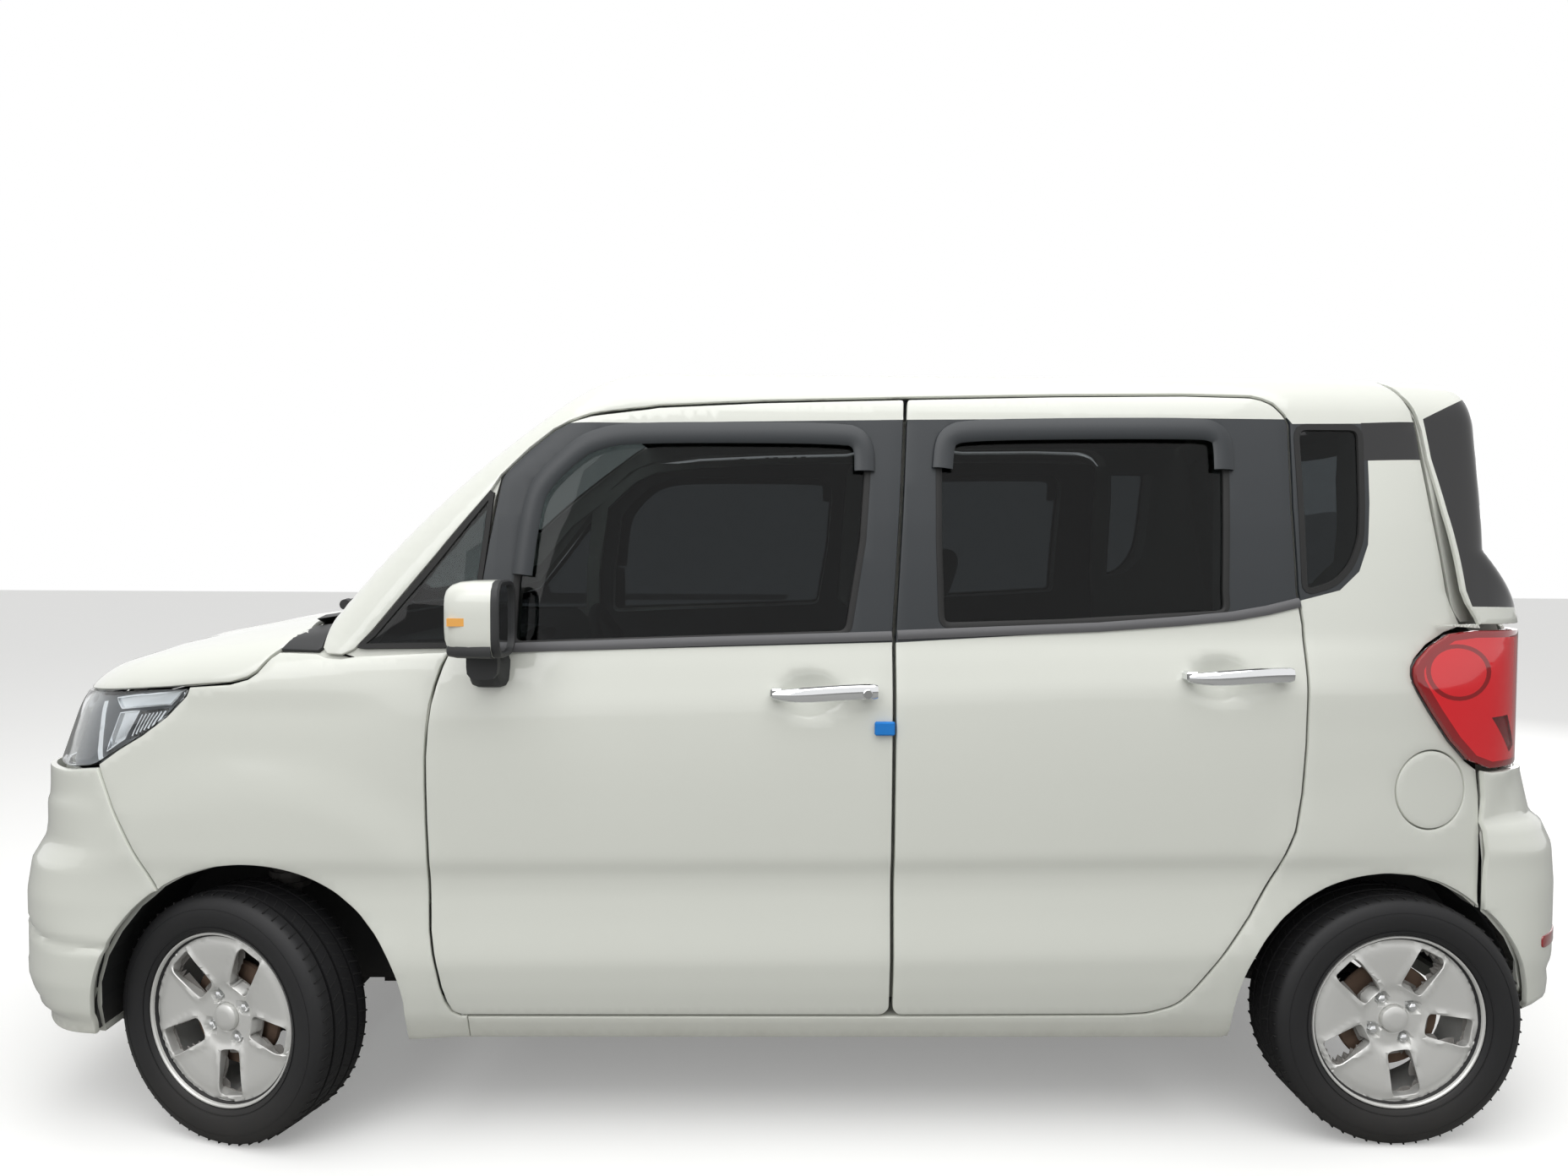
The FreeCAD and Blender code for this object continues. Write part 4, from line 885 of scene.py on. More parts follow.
def tube(points, radius, segments=10):
    """A round bar along points."""
    p = np.array(points, float)
    way = np.gradient(p, axis=0)
    way /= np.linalg.norm(way, axis=1, keepdims=True)
    radius = np.broadcast_to(radius, len(p))
    side = np.cross(way[0], [0.13, .31, .94])
    verts, faces = [], []
    for k in range(len(p)):
        side = side - way[k] * (side @ way[k])
        side /= np.linalg.norm(side)
        up = np.cross(way[k], side)
        for j in range(segments):
            t = 2 * math.pi * j / segments
            verts.append(p[k] + radius[k] * (side * math.cos(t) + up * math.sin(t)))
    for k in range(len(p) - 1):
        for j in range(segments):
            a, b = k * segments + j, k * segments + (j + 1) % segments
            faces.append((a, b, b + segments, a + segments))
    faces.append(tuple(range(segments))[::-1])
    faces.append(tuple(range((len(p) - 1) * segments, len(p) * segments)))
    return outwards(Sheet().add(verts, faces))


def mm(points):
    """Points in millimetres turned into metres."""
    return [(a / 1000, b / 1000) for a, b in points]


def side_line(points):
    """Side-view points in millimetres, as chart points of the left side."""
    return SIDE.flat(on_side(f_cabin, mm(points)))


def add(name, sheet, materials, body, *replaced, angle=35):
    """Makes a piece that rides on a body and may stand in for parts of the carried-over model."""
    piece = sheet.piece(name, materials, angle)
    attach(piece, body)
    if replaced:
        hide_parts(*replaced)
    return piece


def both_sides(stem, sheet, materials, body, *replaced):
    """A left-hand piece and its mirror image."""
    for side, made in (("left", sheet), ("right", sheet.mirrored())):
        add(stem + "_" + side + "_skin" if replaced else stem + "_" + side, made, materials,
            body.replace("*", side), *[r + "_" + side for r in replaced])


# Outlines in the left side view, in millimetres
DOOR_FRONT = [
    (-697, 280), (215, 280), (231, 296), (231, 700), (231, 1108), (249, 1386), (261, 1628),
    (-59, 1618), (-281, 1606), (-429, 1586), (-475, 1571), (-509, 1553), (-560, 1511),
    (-619, 1450), (-643, 1307), (-657, 1211), (-659, 1077), (-719, 1074), (-733, 1040),
    (-745, 1002), (-755, 960), (-761, 912), (-765, 850), (-765, 787), (-764, 710), (-761, 642),
    (-759, 560), (-757, 476), (-750, 425), (-743, 387), (-737, 350), (-728, 315), (-716, 290),
]
DOOR_REAR = [
    (231, 296), (245, 280), (735, 282), (790, 286), (817, 294), (842, 302), (861, 314),
    (887, 342), (929, 399), (1005, 506), (1063, 610), (1097, 693), (1109, 775), (1115, 884),
    (1117, 1028), (1115, 1136), (1105, 1208), (1101, 1391), (1105, 1575), (1097, 1594),
    (1073, 1621), (1050, 1632), (1027, 1638), (877, 1641), (595, 1637), (261, 1628),
    (249, 1386), (231, 1108), (231, 700),
]
WINDOW_FRONT = [
    (-583, 1088), (131, 1114), (163, 1312), (175, 1480), (174, 1512), (160, 1538), (127, 1552),
    (-280, 1551), (-371, 1545), (-412, 1534), (-445, 1520), (-490, 1480), (-533, 1436),
    (-547, 1418), (-553, 1399), (-577, 1217),
]
WINDOW_REAR = [
    (335, 1132), (600, 1141), (949, 1162), (947, 1207), (957, 1440), (959, 1522), (953, 1549),
    (930, 1563), (900, 1568), (640, 1566), (387, 1560), (362, 1555), (349, 1545), (338, 1525),
    (333, 1498), (331, 1313),
]
BLACK_FRONT = [
    (-652, 1069), (-719, 1066), (235, 1095), (290, 1400), (262, 1578), (-120, 1571), (-340, 1567),
    (-509, 1563), (-640, 1455), (-675, 1300),
]
BLACK_REAR = [
    (200, 1092), (671, 1121), (853, 1137), (963, 1149), (1037, 1163), (1140, 1190), (1130, 1585),
    (900, 1586), (560, 1582), (200, 1577),
]
# Handle centre, centre of the dish behind it and half length, in metres
HANDLES = {"front": (.082, .990, .050, .982, .111), "rear": (.961, 1.029, .928, 1.020, .112)}


def dish(where):
    """How deep the door is pressed in behind its handle."""
    cx, cz = HANDLES[where][2:4]

    def shape(p):
        r = np.hypot((p[:, 0] - cx) / .076, (p[:, 2] - cz) / .058)
        return -.022 * np.clip(1 - r * r, 0, 1) ** 1.4 * (p[:, 1] < 0)
    return shape


def doors():
    """The four door skins with their glass, seals, visors and handles."""
    for end, outline, window, black in (("front", DOOR_FRONT, WINDOW_FRONT, BLACK_FRONT),
                                        ("rear", DOOR_REAR, WINDOW_REAR, BLACK_REAR)):
        edge = inset(anticlockwise(rounded(side_line(outline), .012)), PANEL_GAP)
        pane = rounded(side_line(window), .02)
        paint = skin(f_cabin, SIDE, [edge, pane], (.028, .011), thick=.016,
                     regions=[(side_line(black), 1)], bulge=dish(end), slots=(0, 2))
        box = inset(dense(anticlockwise(edge), .012), .016)
        inner = skin(f_cabin, SIDE, [box, pane], (.05, .03), rim=.006, sink=.0195, thick=.046,
                     slots=(2, 3))
        if end == "rear":
            paint.v = clear_of_arch(paint.v)
            inner.v = clear_of_arch(inner.v)
        paint.join(inner)
        both_sides("door_" + end, paint, [PAINT, FRAME_BLACK, SHADED_JAMB, LIGHT_TRIM], "door_%s_*" % end,
                   "door_" + end)
        hole = anticlockwise(pane)
        glass = skin(f_cabin, SIDE, [inset(dense(hole, .01), -.008)], (.06, .04), rim=.0015,
                     sink=.007, thick=.003)
        both_sides("door_glass_" + end, glass, [SIDE_GLASS], "door_%s_*" % end,
                   "door_glass_" + end)
        seal = ribbon(f_cabin, SIDE, hole, [(-.010, -.006), (-.008, .0015), (0, .002), (.005, -.001),
                                            (.006, -.0065)], True, .01)
        if end == "front":
            top = side_line([(-574, 1235), (-565, 1320), (-553, 1399), (-533, 1440), (-490, 1486),
                             (-445, 1524), (-412, 1537), (-371, 1548), (-280, 1554), (127, 1555),
                             (162, 1541), (177, 1512), (177, 1462)])
            belt = side_line([(-652, 1077), (-583, 1079), (-235, 1092), (226, 1108)])
        else:
            top = side_line([(329, 1470), (334, 1524), (349, 1549), (387, 1563), (640, 1569),
                             (900, 1571), (932, 1566), (956, 1550), (962, 1522), (961, 1470)])
            belt = side_line([(238, 1110), (671, 1129), (853, 1143), (963, 1154), (1037, 1167),
                              (1106, 1184)])
        visor = ribbon(f_cabin, SIDE, smooth_line(top), [
            (.014, .001), (.012, .008), (.002, .013), (-.012, .014), (-.027, .012), (-.031, .009),
            (-.028, .008), (-.012, .010), (.001, .009), (.009, .004), (.010, .001)], gap=.012)
        strip = ribbon(f_cabin, SIDE, belt, [
            (-.009, -.002), (-.010, .004), (-.004, .0075), (.005, .0075), (.010, .004), (.011, -.002)])
        seal.join(visor, 1).join(strip, 2)
        both_sides("door_%s_trim" % end, seal, [RUBBER, FRAME_BLACK, LIGHT_TRIM], "door_%s_*" % end)
        handle(end)


def smooth_line(line, rounds=2):
    """An open line with its corners cut."""
    line = np.array(line, float)
    for _ in range(rounds):
        cut = [line[0]]
        for a, b in zip(line[:-1], line[1:]):
            cut += [a * .75 + b * .25, a * .25 + b * .75]
        cut.append(line[-1])
        line = np.array(cut)
    return line


def clear_of_arch(verts, radius=.342):
    """Keeps the rear door's lower corner off the wheel arch."""
    out = []
    for x, y, z in verts:
        dx, dz = x - ARCH_R[0], z - AXLE_HEIGHT
        r = math.hypot(dx, dz)
        if r < radius and z < .75:
            x, z = ARCH_R[0] + dx * radius / r, AXLE_HEIGHT + dz * radius / r
        out.append((x, y, z))
    return out


def handle(end):
    """A chrome grip bar over a pressed dish, on a short stub at each end."""
    cx, cz, _, _, half = HANDLES[end]
    line = [(cx + half * t, cz + .004 * math.sin(t * 2)) for t in np.linspace(-1, 1, 26)]
    rows = []
    for k, (x, z) in enumerate(line):
        t = -1 + 2 * k / 25
        wide = .0165 * (1 - .42 * max(0, -t) ** 2.5) * (1 if abs(t) < .97 else .86)
        out = .034 - .011 * abs(t) ** 3
        y = on_side(f_cabin, [(x, z)])[0][1]
        ring = []
        for a in np.linspace(0, 2 * math.pi, 12, endpoint=False):
            ring.append((x, y - out + .0085 * math.cos(a), z + wide * math.sin(a)))
        rows.append(ring)
    bar = loft(rows)
    surface_y = on_side(f_cabin, [(cx, cz)])[0][1]
    for t in (-.93, .80):
        x = cx + half * t
        bar.join(block((x - .012, surface_y - .030, cz - .010),
                       (x + .014, surface_y + .004, cz + .010), .004))
    if end == "front":
        x = cx + half * .80
        barrel = [(-.0335, 0), (-.0335, .009), (-.030, .0105), (-.02, .0105), (-.02, 0)]
        bar.join(placed(revolve(barrel, 20), Matrix.Translation((x, surface_y - .010, cz))))
    both_sides("handle_" + end, bar, [CHROME], "door_%s_*" % end)


def node_mesh(name):
    """The mesh of a carried-over part, in the car's frame, with doubled points merged."""
    source = nodes[name]
    sheet = Sheet().add([source.matrix_world @ v.co for v in source.data.vertices],
                        [tuple(p.vertices) for p in source.data.polygons])
    return weld(sheet)


def tucked(name, field, under=.004, slot=0):
    """A part's own form with every point kept a little under the smooth surface."""
    sheet = node_mesh(name)
    p = np.array(sheet.v)
    for _ in range(3):
        f = field(p[:, 0], np.abs(p[:, 1]), p[:, 2])
        over = np.maximum(f + under, 0)
        p -= outward(field, p) * over[:, None]
    sheet.v = [tuple(v) for v in p]
    sheet.m = [slot] * len(sheet.f)
    return sheet


def f_body(x, y, z):
    """Cabin and bonnet together."""
    return np.minimum(f_cabin(x, y, z), f_high(x, y, z))


def f_front(x, y, z):
    """Bumpers and the body above them together."""
    return np.minimum(f_low(x, y, z), f_high(x, y, z))


def up_points(field, xy, start=.9):
    """Points of the plan, put on the surface from below."""
    p = np.array(xy, float)
    o = np.stack([p[:, 0], p[:, 1], np.full(len(p), start)], -1)
    return surface(field, o, np.repeat([[0., 0., 1.]], len(p), 0), 1.2)


def nose_line(turns, height, centre=-1.1, facing=-1, field=f_high):
    """Points round the nose or tail at a height that may depend on x."""
    t = np.radians(np.array(turns, float))
    z = np.full(len(t), height(centre + facing * .6))
    for _ in range(4):
        o = np.stack([np.full(len(t), centre), 0 * t, z], -1)
        p = surface(field, o, np.stack([facing * np.cos(t), -np.sin(t), 0 * t], -1))
        z = np.array([height(x) for x in p[:, 0]])
    return p


def both_halves(line):
    """A left-hand run of points from the middle round to the middle, closed by its mirror."""
    line = np.array(line)
    return np.vstack([line, (line * [1, -1, 1])[::-1][1:-1]])


def arch(which, a0, a1, count=36, extra=0.):
    """A wheel arch between two angles, in millimetres."""
    x, r = which[0], which[1] + extra
    return [((x + r * math.cos(a)) * 1000, (AXLE_HEIGHT + r * math.sin(a)) * 1000)
            for a in np.radians(np.linspace(a0, a1, count))]


REAR_SEAM = [(1521, 517), (1521, 551), (1523, 593), (1525, 667), (1525, 758), (1519, 818)]
TAIL_LAMP = [(1519, 818), (1487, 840), (1441, 885), (1393, 948), (1365, 990), (1352, 1014),
             (1349, 1029), (1350, 1046), (1360, 1064), (1389, 1092), (1437, 1119), (1483, 1132)]
GATE_SIDE = [(1483, 1132), (1475, 1147), (1455, 1183), (1445, 1210), (1433, 1283), (1415, 1375),
             (1395, 1496), (1389, 1560), (1378, 1610), (1361, 1645)]
PILLAR_LOW = [(-917, 1075), (-883, 1112), (-831, 1176), (-779, 1241), (-727, 1307), (-640, 1414)]
DOOR_TOP = DOOR_FRONT[13:5:-1] + DOOR_REAR[24:1:-1] + [(245, 279), (-683, 279)]
QUARTER = [(1121, 1566), (1121, 1206), (1185, 1226), (1223, 1266), (1245, 1321), (1251, 1392),
           (1259, 1566)]
PILLAR_BASE = [(-993, 1076), (-979, 1063), (-945, 1061), (-917, 1075)]


def body_sides():
    """The side panels with the fuel flap, the fixed panes and their seals."""
    low = mm([(-683, 223), (965, 223), (980, 240)] + arch(ARCH_R, 180, 49, 44))
    outline = SIDE.flat(on_side(f_cabin, low + mm(REAR_SEAM + TAIL_LAMP[1:] + GATE_SIDE[1:])))
    roof = [(1.342, -.64), (1.336, -.6135)] + [(x, -.6135) for x in np.linspace(1.30, -.45, 26)]
    top = SIDE.flat(up_points(f_cabin, roof, 1.2))
    screen = [(x, -.6135) for x in np.linspace(-.50, -.985, 14)]
    pillar = SIDE.flat(up_points(f_cabin, screen, 1.05))
    rest = SIDE.flat(on_side(f_cabin, mm(PILLAR_BASE + PILLAR_LOW[1:] + DOOR_TOP)))
    ring = inset(anticlockwise(np.vstack([outline, top, pillar, rest])), FIXED_GAP)
    pane = rounded(side_line(QUARTER), .022)
    gloss = side_line([(1264, 1578), (1390, 1581), (1396, 1497), (1261, 1494)])
    black = side_line([(1100, 1590), (1112, 1575), (1276, 1577), (1270, 1400), (1262, 1310),
                       (1240, 1252), (1196, 1211), (1100, 1186)])
    flap, lid = [SIDE.flat(on_side(f_cabin, [
        (FLAP_CENTRE[0] + radius * math.cos(t), FLAP_CENTRE[1] + radius * math.sin(t))
        for t in np.linspace(0, 2 * math.pi, 48, endpoint=False)
    ])) for radius in (FLAP_RADIUS + FLAP_GAP, FLAP_RADIUS)]
    mats = [PAINT, SHADED_JAMB, FRAME_BLACK, GLOSS_BLACK]
    for side, loops in (("left", [ring, pane, flap]), ("right", [ring, pane])):
        sheet = skin(f_cabin, SIDE, loops, (.03, .012), thick=.004, slots=(0, 1),
                     regions=[(black, 2), (gloss, 3)])
        frame_form = tucked("side_frame_" + side, f_cabin, .008, 1)
        if side == "right":
            sheet = sheet.join(frame_form.mirrored()).mirrored()
        else:
            sheet.join(frame_form)
        add("side_frame_%s_skin" % side, sheet, mats, "chassis", "side_frame_" + side)
    lid = skin(f_cabin, SIDE, [lid], (.012, .012), thick=.006)
    add("fuel_flap_skin", lid, [PAINT], "fuel_flap", "fuel_flap")
    front = side_line([(-909, 1077), (-661, 1081), (-653, 1217), (-640, 1330), (-633, 1412),
                       (-640, 1416), (-727, 1303), (-779, 1237), (-831, 1172), (-883, 1108)])
    rear = rounded(side_line(QUARTER), .022)
    glass = skin(f_cabin, SIDE, [front], (.05, .03), rim=.0015, sink=.003, thick=.003)
    glass.join(skin(f_cabin, SIDE, [rear], (.05, .03), rim=.0015, sink=.003, thick=.003))
    both_sides("fixed_glass", glass, [SIDE_GLASS], "chassis", "fixed_glass")
    front, rear = anticlockwise(front), anticlockwise(rear)
    seal = ribbon(f_cabin, SIDE, inset(front, .004), [(-.006, -.004), (-.005, .001), (.005, .001),
                                                      (.007, -.004)], True)
    seal.join(ribbon(f_cabin, SIDE, rear, [(-.010, -.004), (-.008, .0015), (.004, .0015),
                                           (.006, -.004)], True))
    both_sides("quarter_seal", seal, [RUBBER], "chassis")


def fenders():
    """The front wings and the black corners beside the windscreen."""
    low = [(-683, 223), (-683, 280), (-697, 280)] + DOOR_FRONT[32:17:-1] + [(-719, 1071)]
    top = [(-917, 1061), (-945, 1056), (-979, 1058), (-1000, 1066), (-1083, 1068), (-1099, 1056),
           (-1123, 1025), (-1143, 1011), (-1181, 1000), (-1269, 993), (-1277, 973), (-1321, 928),
           (-1375, 888), (-1429, 856), (-1477, 823), (-1477, 816), (-1441, 730), (-1395, 641),
           (-1342, 556)]
    line = low + top + arch(ARCH_F, 123.5, 8, 44) + [(-815, 223)]
    ring = closed_up(on_side(f_high, mm(line)), SIDE, FIXED_GAP)
    sheet = skin(f_high, SIDE, [ring], (.026, .012), thick=.004, slots=(0, 1))
    sheet.join(tucked("fender_left", f_high, .008, 1))
    both_sides("fender", sheet, [PAINT, SHADED_JAMB], "chassis", "fender")
    corner = on_side(f_high, mm([(-1083, 1071), (-1000, 1069), (-992, 1076)]))
    back = up_points(f_high, [(-.99, -.70), (-1.0, -.62), (-1.06, -.62), (-1.072, -.70)], .8)
    flat = anticlockwise(SIDE.flat(np.vstack([corner, back])))
    both_sides("cowl_corner", skin(f_high, SIDE, [inset(flat, .001)], (.02, .012), thick=.006),
               [TRIM], "chassis")


def shut_height(x):
    """Height of the bonnet's front shut line at a distance along the car."""
    return .948 + (x + 1.9) * .0726


UPWARD = PointChart((-1.3, 0, .2), 2, 1)
ROOFWARD = PointChart((.4, 0, .3), 2, 1)
FORWARD = PointChart((-.2, 0, 1.15), 0, -1)
BACKWARD = PointChart((.9, 0, 1.15), 0, 1)
NOSE = RoundChart(-1.1, -1)
TAIL = RoundChart(1.0, 1)


def closed_up(points, chart, depth):
    """A panel's outline in chart units, drawn in by its gap."""
    return inset(anticlockwise(chart.flat(np.array(points))), depth)


def lids():
    """Bonnet, roof and windscreen."""
    side = on_side(f_high, mm([(-1269, 995), (-1181, 1002), (-1143, 1014), (-1123, 1028),
                               (-1099, 1059), (-1077, 1077), (-1053, 1104)]))
    rear = up_points(f_high, [(-1.0545 - .0995 * (1 - (y / .66) ** 2), -y)
                              for y in np.linspace(.70, 0, 16)], .7)
    nose = nose_line(np.linspace(0, 74, 40), shut_height)
    nose = nose[nose[:, 0] < -1.285]
    ring = closed_up(both_halves(np.vstack([nose, side, rear])), UPWARD, .003)

    def ribs(p):
        run = np.abs(p[:, 1]) - (.34 + .10 * (p[:, 0] + 1.6))
        fade = step01(-1.70, -1.60, p[:, 0])
        return .004 * step01(.03, -.02, run) * fade

    sheet = skin(f_high, UPWARD, [ring], (.022, .022), thick=.006, bulge=ribs, slots=(0, 1))
    sheet.join(tucked("bonnet", f_high, .010, 1))
    add("bonnet_skin", sheet, [PAINT, SHADED_JAMB], "bonnet", "bonnet")
    edge = [(x, -.6105) for x in np.linspace(-.447, 1.336, 24)]
    front = [(-.447 - .012 * (1 - (y / .61) ** 2), -y) for y in np.linspace(0, .59, 12)]
    ring = up_points(f_cabin, front + edge + [(1.338, -y) for y in np.linspace(.59, 0, 12)], 1.2)
    ring = closed_up(both_halves(ring), ROOFWARD, .001)

    def beads(p):
        y = np.abs(p[:, 1])
        line = np.exp(-((y - .22) / .012) ** 2) + np.exp(-((y - .44) / .012) ** 2)
        return -.003 * line * step01(-.30, -.20, p[:, 0]) * step01(1.22, 1.12, p[:, 0])

    sheet = skin(f_cabin, ROOFWARD, [ring], (.04, .009), thick=.006, bulge=beads, slots=(0, 1))
    sheet.join(tucked("roof_panel", f_cabin, .010, 1))
    add("roof_panel_skin", sheet, [PAINT, LINING], "chassis", "roof_panel")
    top = up_points(f_cabin, [(-.457 - .012 * (1 - (y / .61) ** 2), -y)
                              for y in np.linspace(0, .59, 12)], 1.1)
    edge = up_points(f_cabin, [(x, -.6085) for x in np.linspace(-.47, -.965, 16)], 1.05)
    base = nose_line(np.linspace(37, 0, 14), lambda x: 1.136, -.2, -1, f_cabin)
    ring = anticlockwise(FORWARD.flat(both_halves(np.vstack([top, edge, base]))))
    inner = inset(dense(ring, .03), .035)
    sheet = skin(f_cabin, FORWARD, [inset(ring, .002)], (.035, .03), rim=.0015, sink=.002,
                 thick=.004)
    add("windscreen_glass", sheet, [SCREEN_GLASS], "chassis", "windscreen")
    band = skin(f_cabin, FORWARD, [inset(ring, .004), inner], (.035, .02), rim=.0008, sink=.0078,
                thick=.0006)
    add("windscreen_band", band, [FRAME_BLACK], "chassis")


def tailgate():
    """The tailgate with its pane; the number plate's recess is pressed in."""
    top = up_points(f_cabin, [(1.3455, -y) for y in np.linspace(0, .63, 14)], 1.2)
    side = on_side(f_cabin, mm([(a + 5, b) for a, b in GATE_SIDE[::-1]]))
    shelf = nose_line(np.linspace(62, 42, 8), lambda x: 1.138, 1.0, 1, f_cabin)
    lamp = rearward(f_body, [(1.0, -.5965, z) for z in np.linspace(1.128, .712, 16)])
    low = rearward(f_body, [(1.0, -y, .702) for y in np.linspace(.585, 0, 12)])
    ring = anticlockwise(BACKWARD.flat(both_halves(np.vstack([top, side, shelf, lamp, low]))))
    pane = [(-.585, 1.195), (.585, 1.195), (.560, 1.555), (-.560, 1.555)]
    pane = rounded(BACKWARD.flat(rearward(f_cabin, [(1.0, y, z) for y, z in pane])), .03)
    outer = np.vstack([on_side(f_cabin, mm([(1470, 1176), (1458, 1210), (1446, 1283), (1428, 1375),
                                            (1407, 1496), (1402, 1555), (1399, 1585)])),
                       rearward(f_cabin, [(1.0, -.50, 1.588), (1.0, -.25, 1.592), (1.0, 0, 1.592)])])
    low_edge = rearward(f_cabin, [(1.0, 0, 1.168), (1.0, -.30, 1.168), (1.0, -.60, 1.170)])
    dark = BACKWARD.flat(both_halves(np.vstack([low_edge, outer])))

    def form(p):
        y, z = np.abs(p[:, 1]), p[:, 2]
        plate = step01(.285, .262, y) * step01(.790, .802, z) * step01(.965, .950, z)
        waist = np.exp(-((z - 1.02) / .014) ** 2) * step01(.56, .50, y)
        return -.016 * plate - .004 * waist

    sheet = skin(f_body, BACKWARD, [inset(ring, .002), pane], (.02, .012), thick=.006,
                 regions=[(dark, 2)], bulge=form, slots=(0, 1))
    sheet.join(tucked("tailgate", f_body, .012, 1))
    add("tailgate_skin", sheet, [PAINT, SHADED_JAMB, GLOSS_BLACK], "tailgate", "tailgate")
    glass = skin(f_cabin, BACKWARD, [inset(anticlockwise(pane), -.006)], (.06, .03), rim=.0015,
                 sink=.007, thick=.003)
    add("tailgate_pane", glass, [SIDE_GLASS], "tailgate", "tailgate_glass")


def front_top(x):
    """Height of the front bumper's upper edge at a distance along the car."""
    return float(np.interp(x, [-1.9, -1.56, -1.513, -1.477], [.800, .806, .813, .816]))


def beyond(line, edge):
    """The part of a line farther than edge from the centre, ended exactly there."""
    out = []
    for a, b in zip(line[:-1], line[1:]):
        if abs(a[1]) > edge:
            out.append(a)
        if (abs(a[1]) - edge) * (abs(b[1]) - edge) < 0:
            out.append(a + (b - a) * (edge - abs(a[1])) / (abs(b[1]) - abs(a[1])))
    if abs(line[-1][1]) > edge:
        out.append(line[-1])
    return np.array(out)


def clear_of_tyre(verts, radius=.281):
    """Keeps a bumper's edge off the rear tyre."""
    p = np.array(verts, dtype=float)
    x, z = p[:, 0] - REAR_AXLE, p[:, 2] - AXLE_HEIGHT
    r = np.maximum(np.hypot(x, z), 1e-6)
    push = np.where((r < radius) & (np.abs(p[:, 1]) > .60), radius / r, 1)
    p[:, 0], p[:, 2] = REAR_AXLE + x * push, AXLE_HEIGHT + z * push
    return [tuple(q) for q in p]


def patch(chart, points):
    """Side-view points in millimetres, as chart points of the nose or the tail."""
    return chart.flat(on_side(f_high, mm(points)))


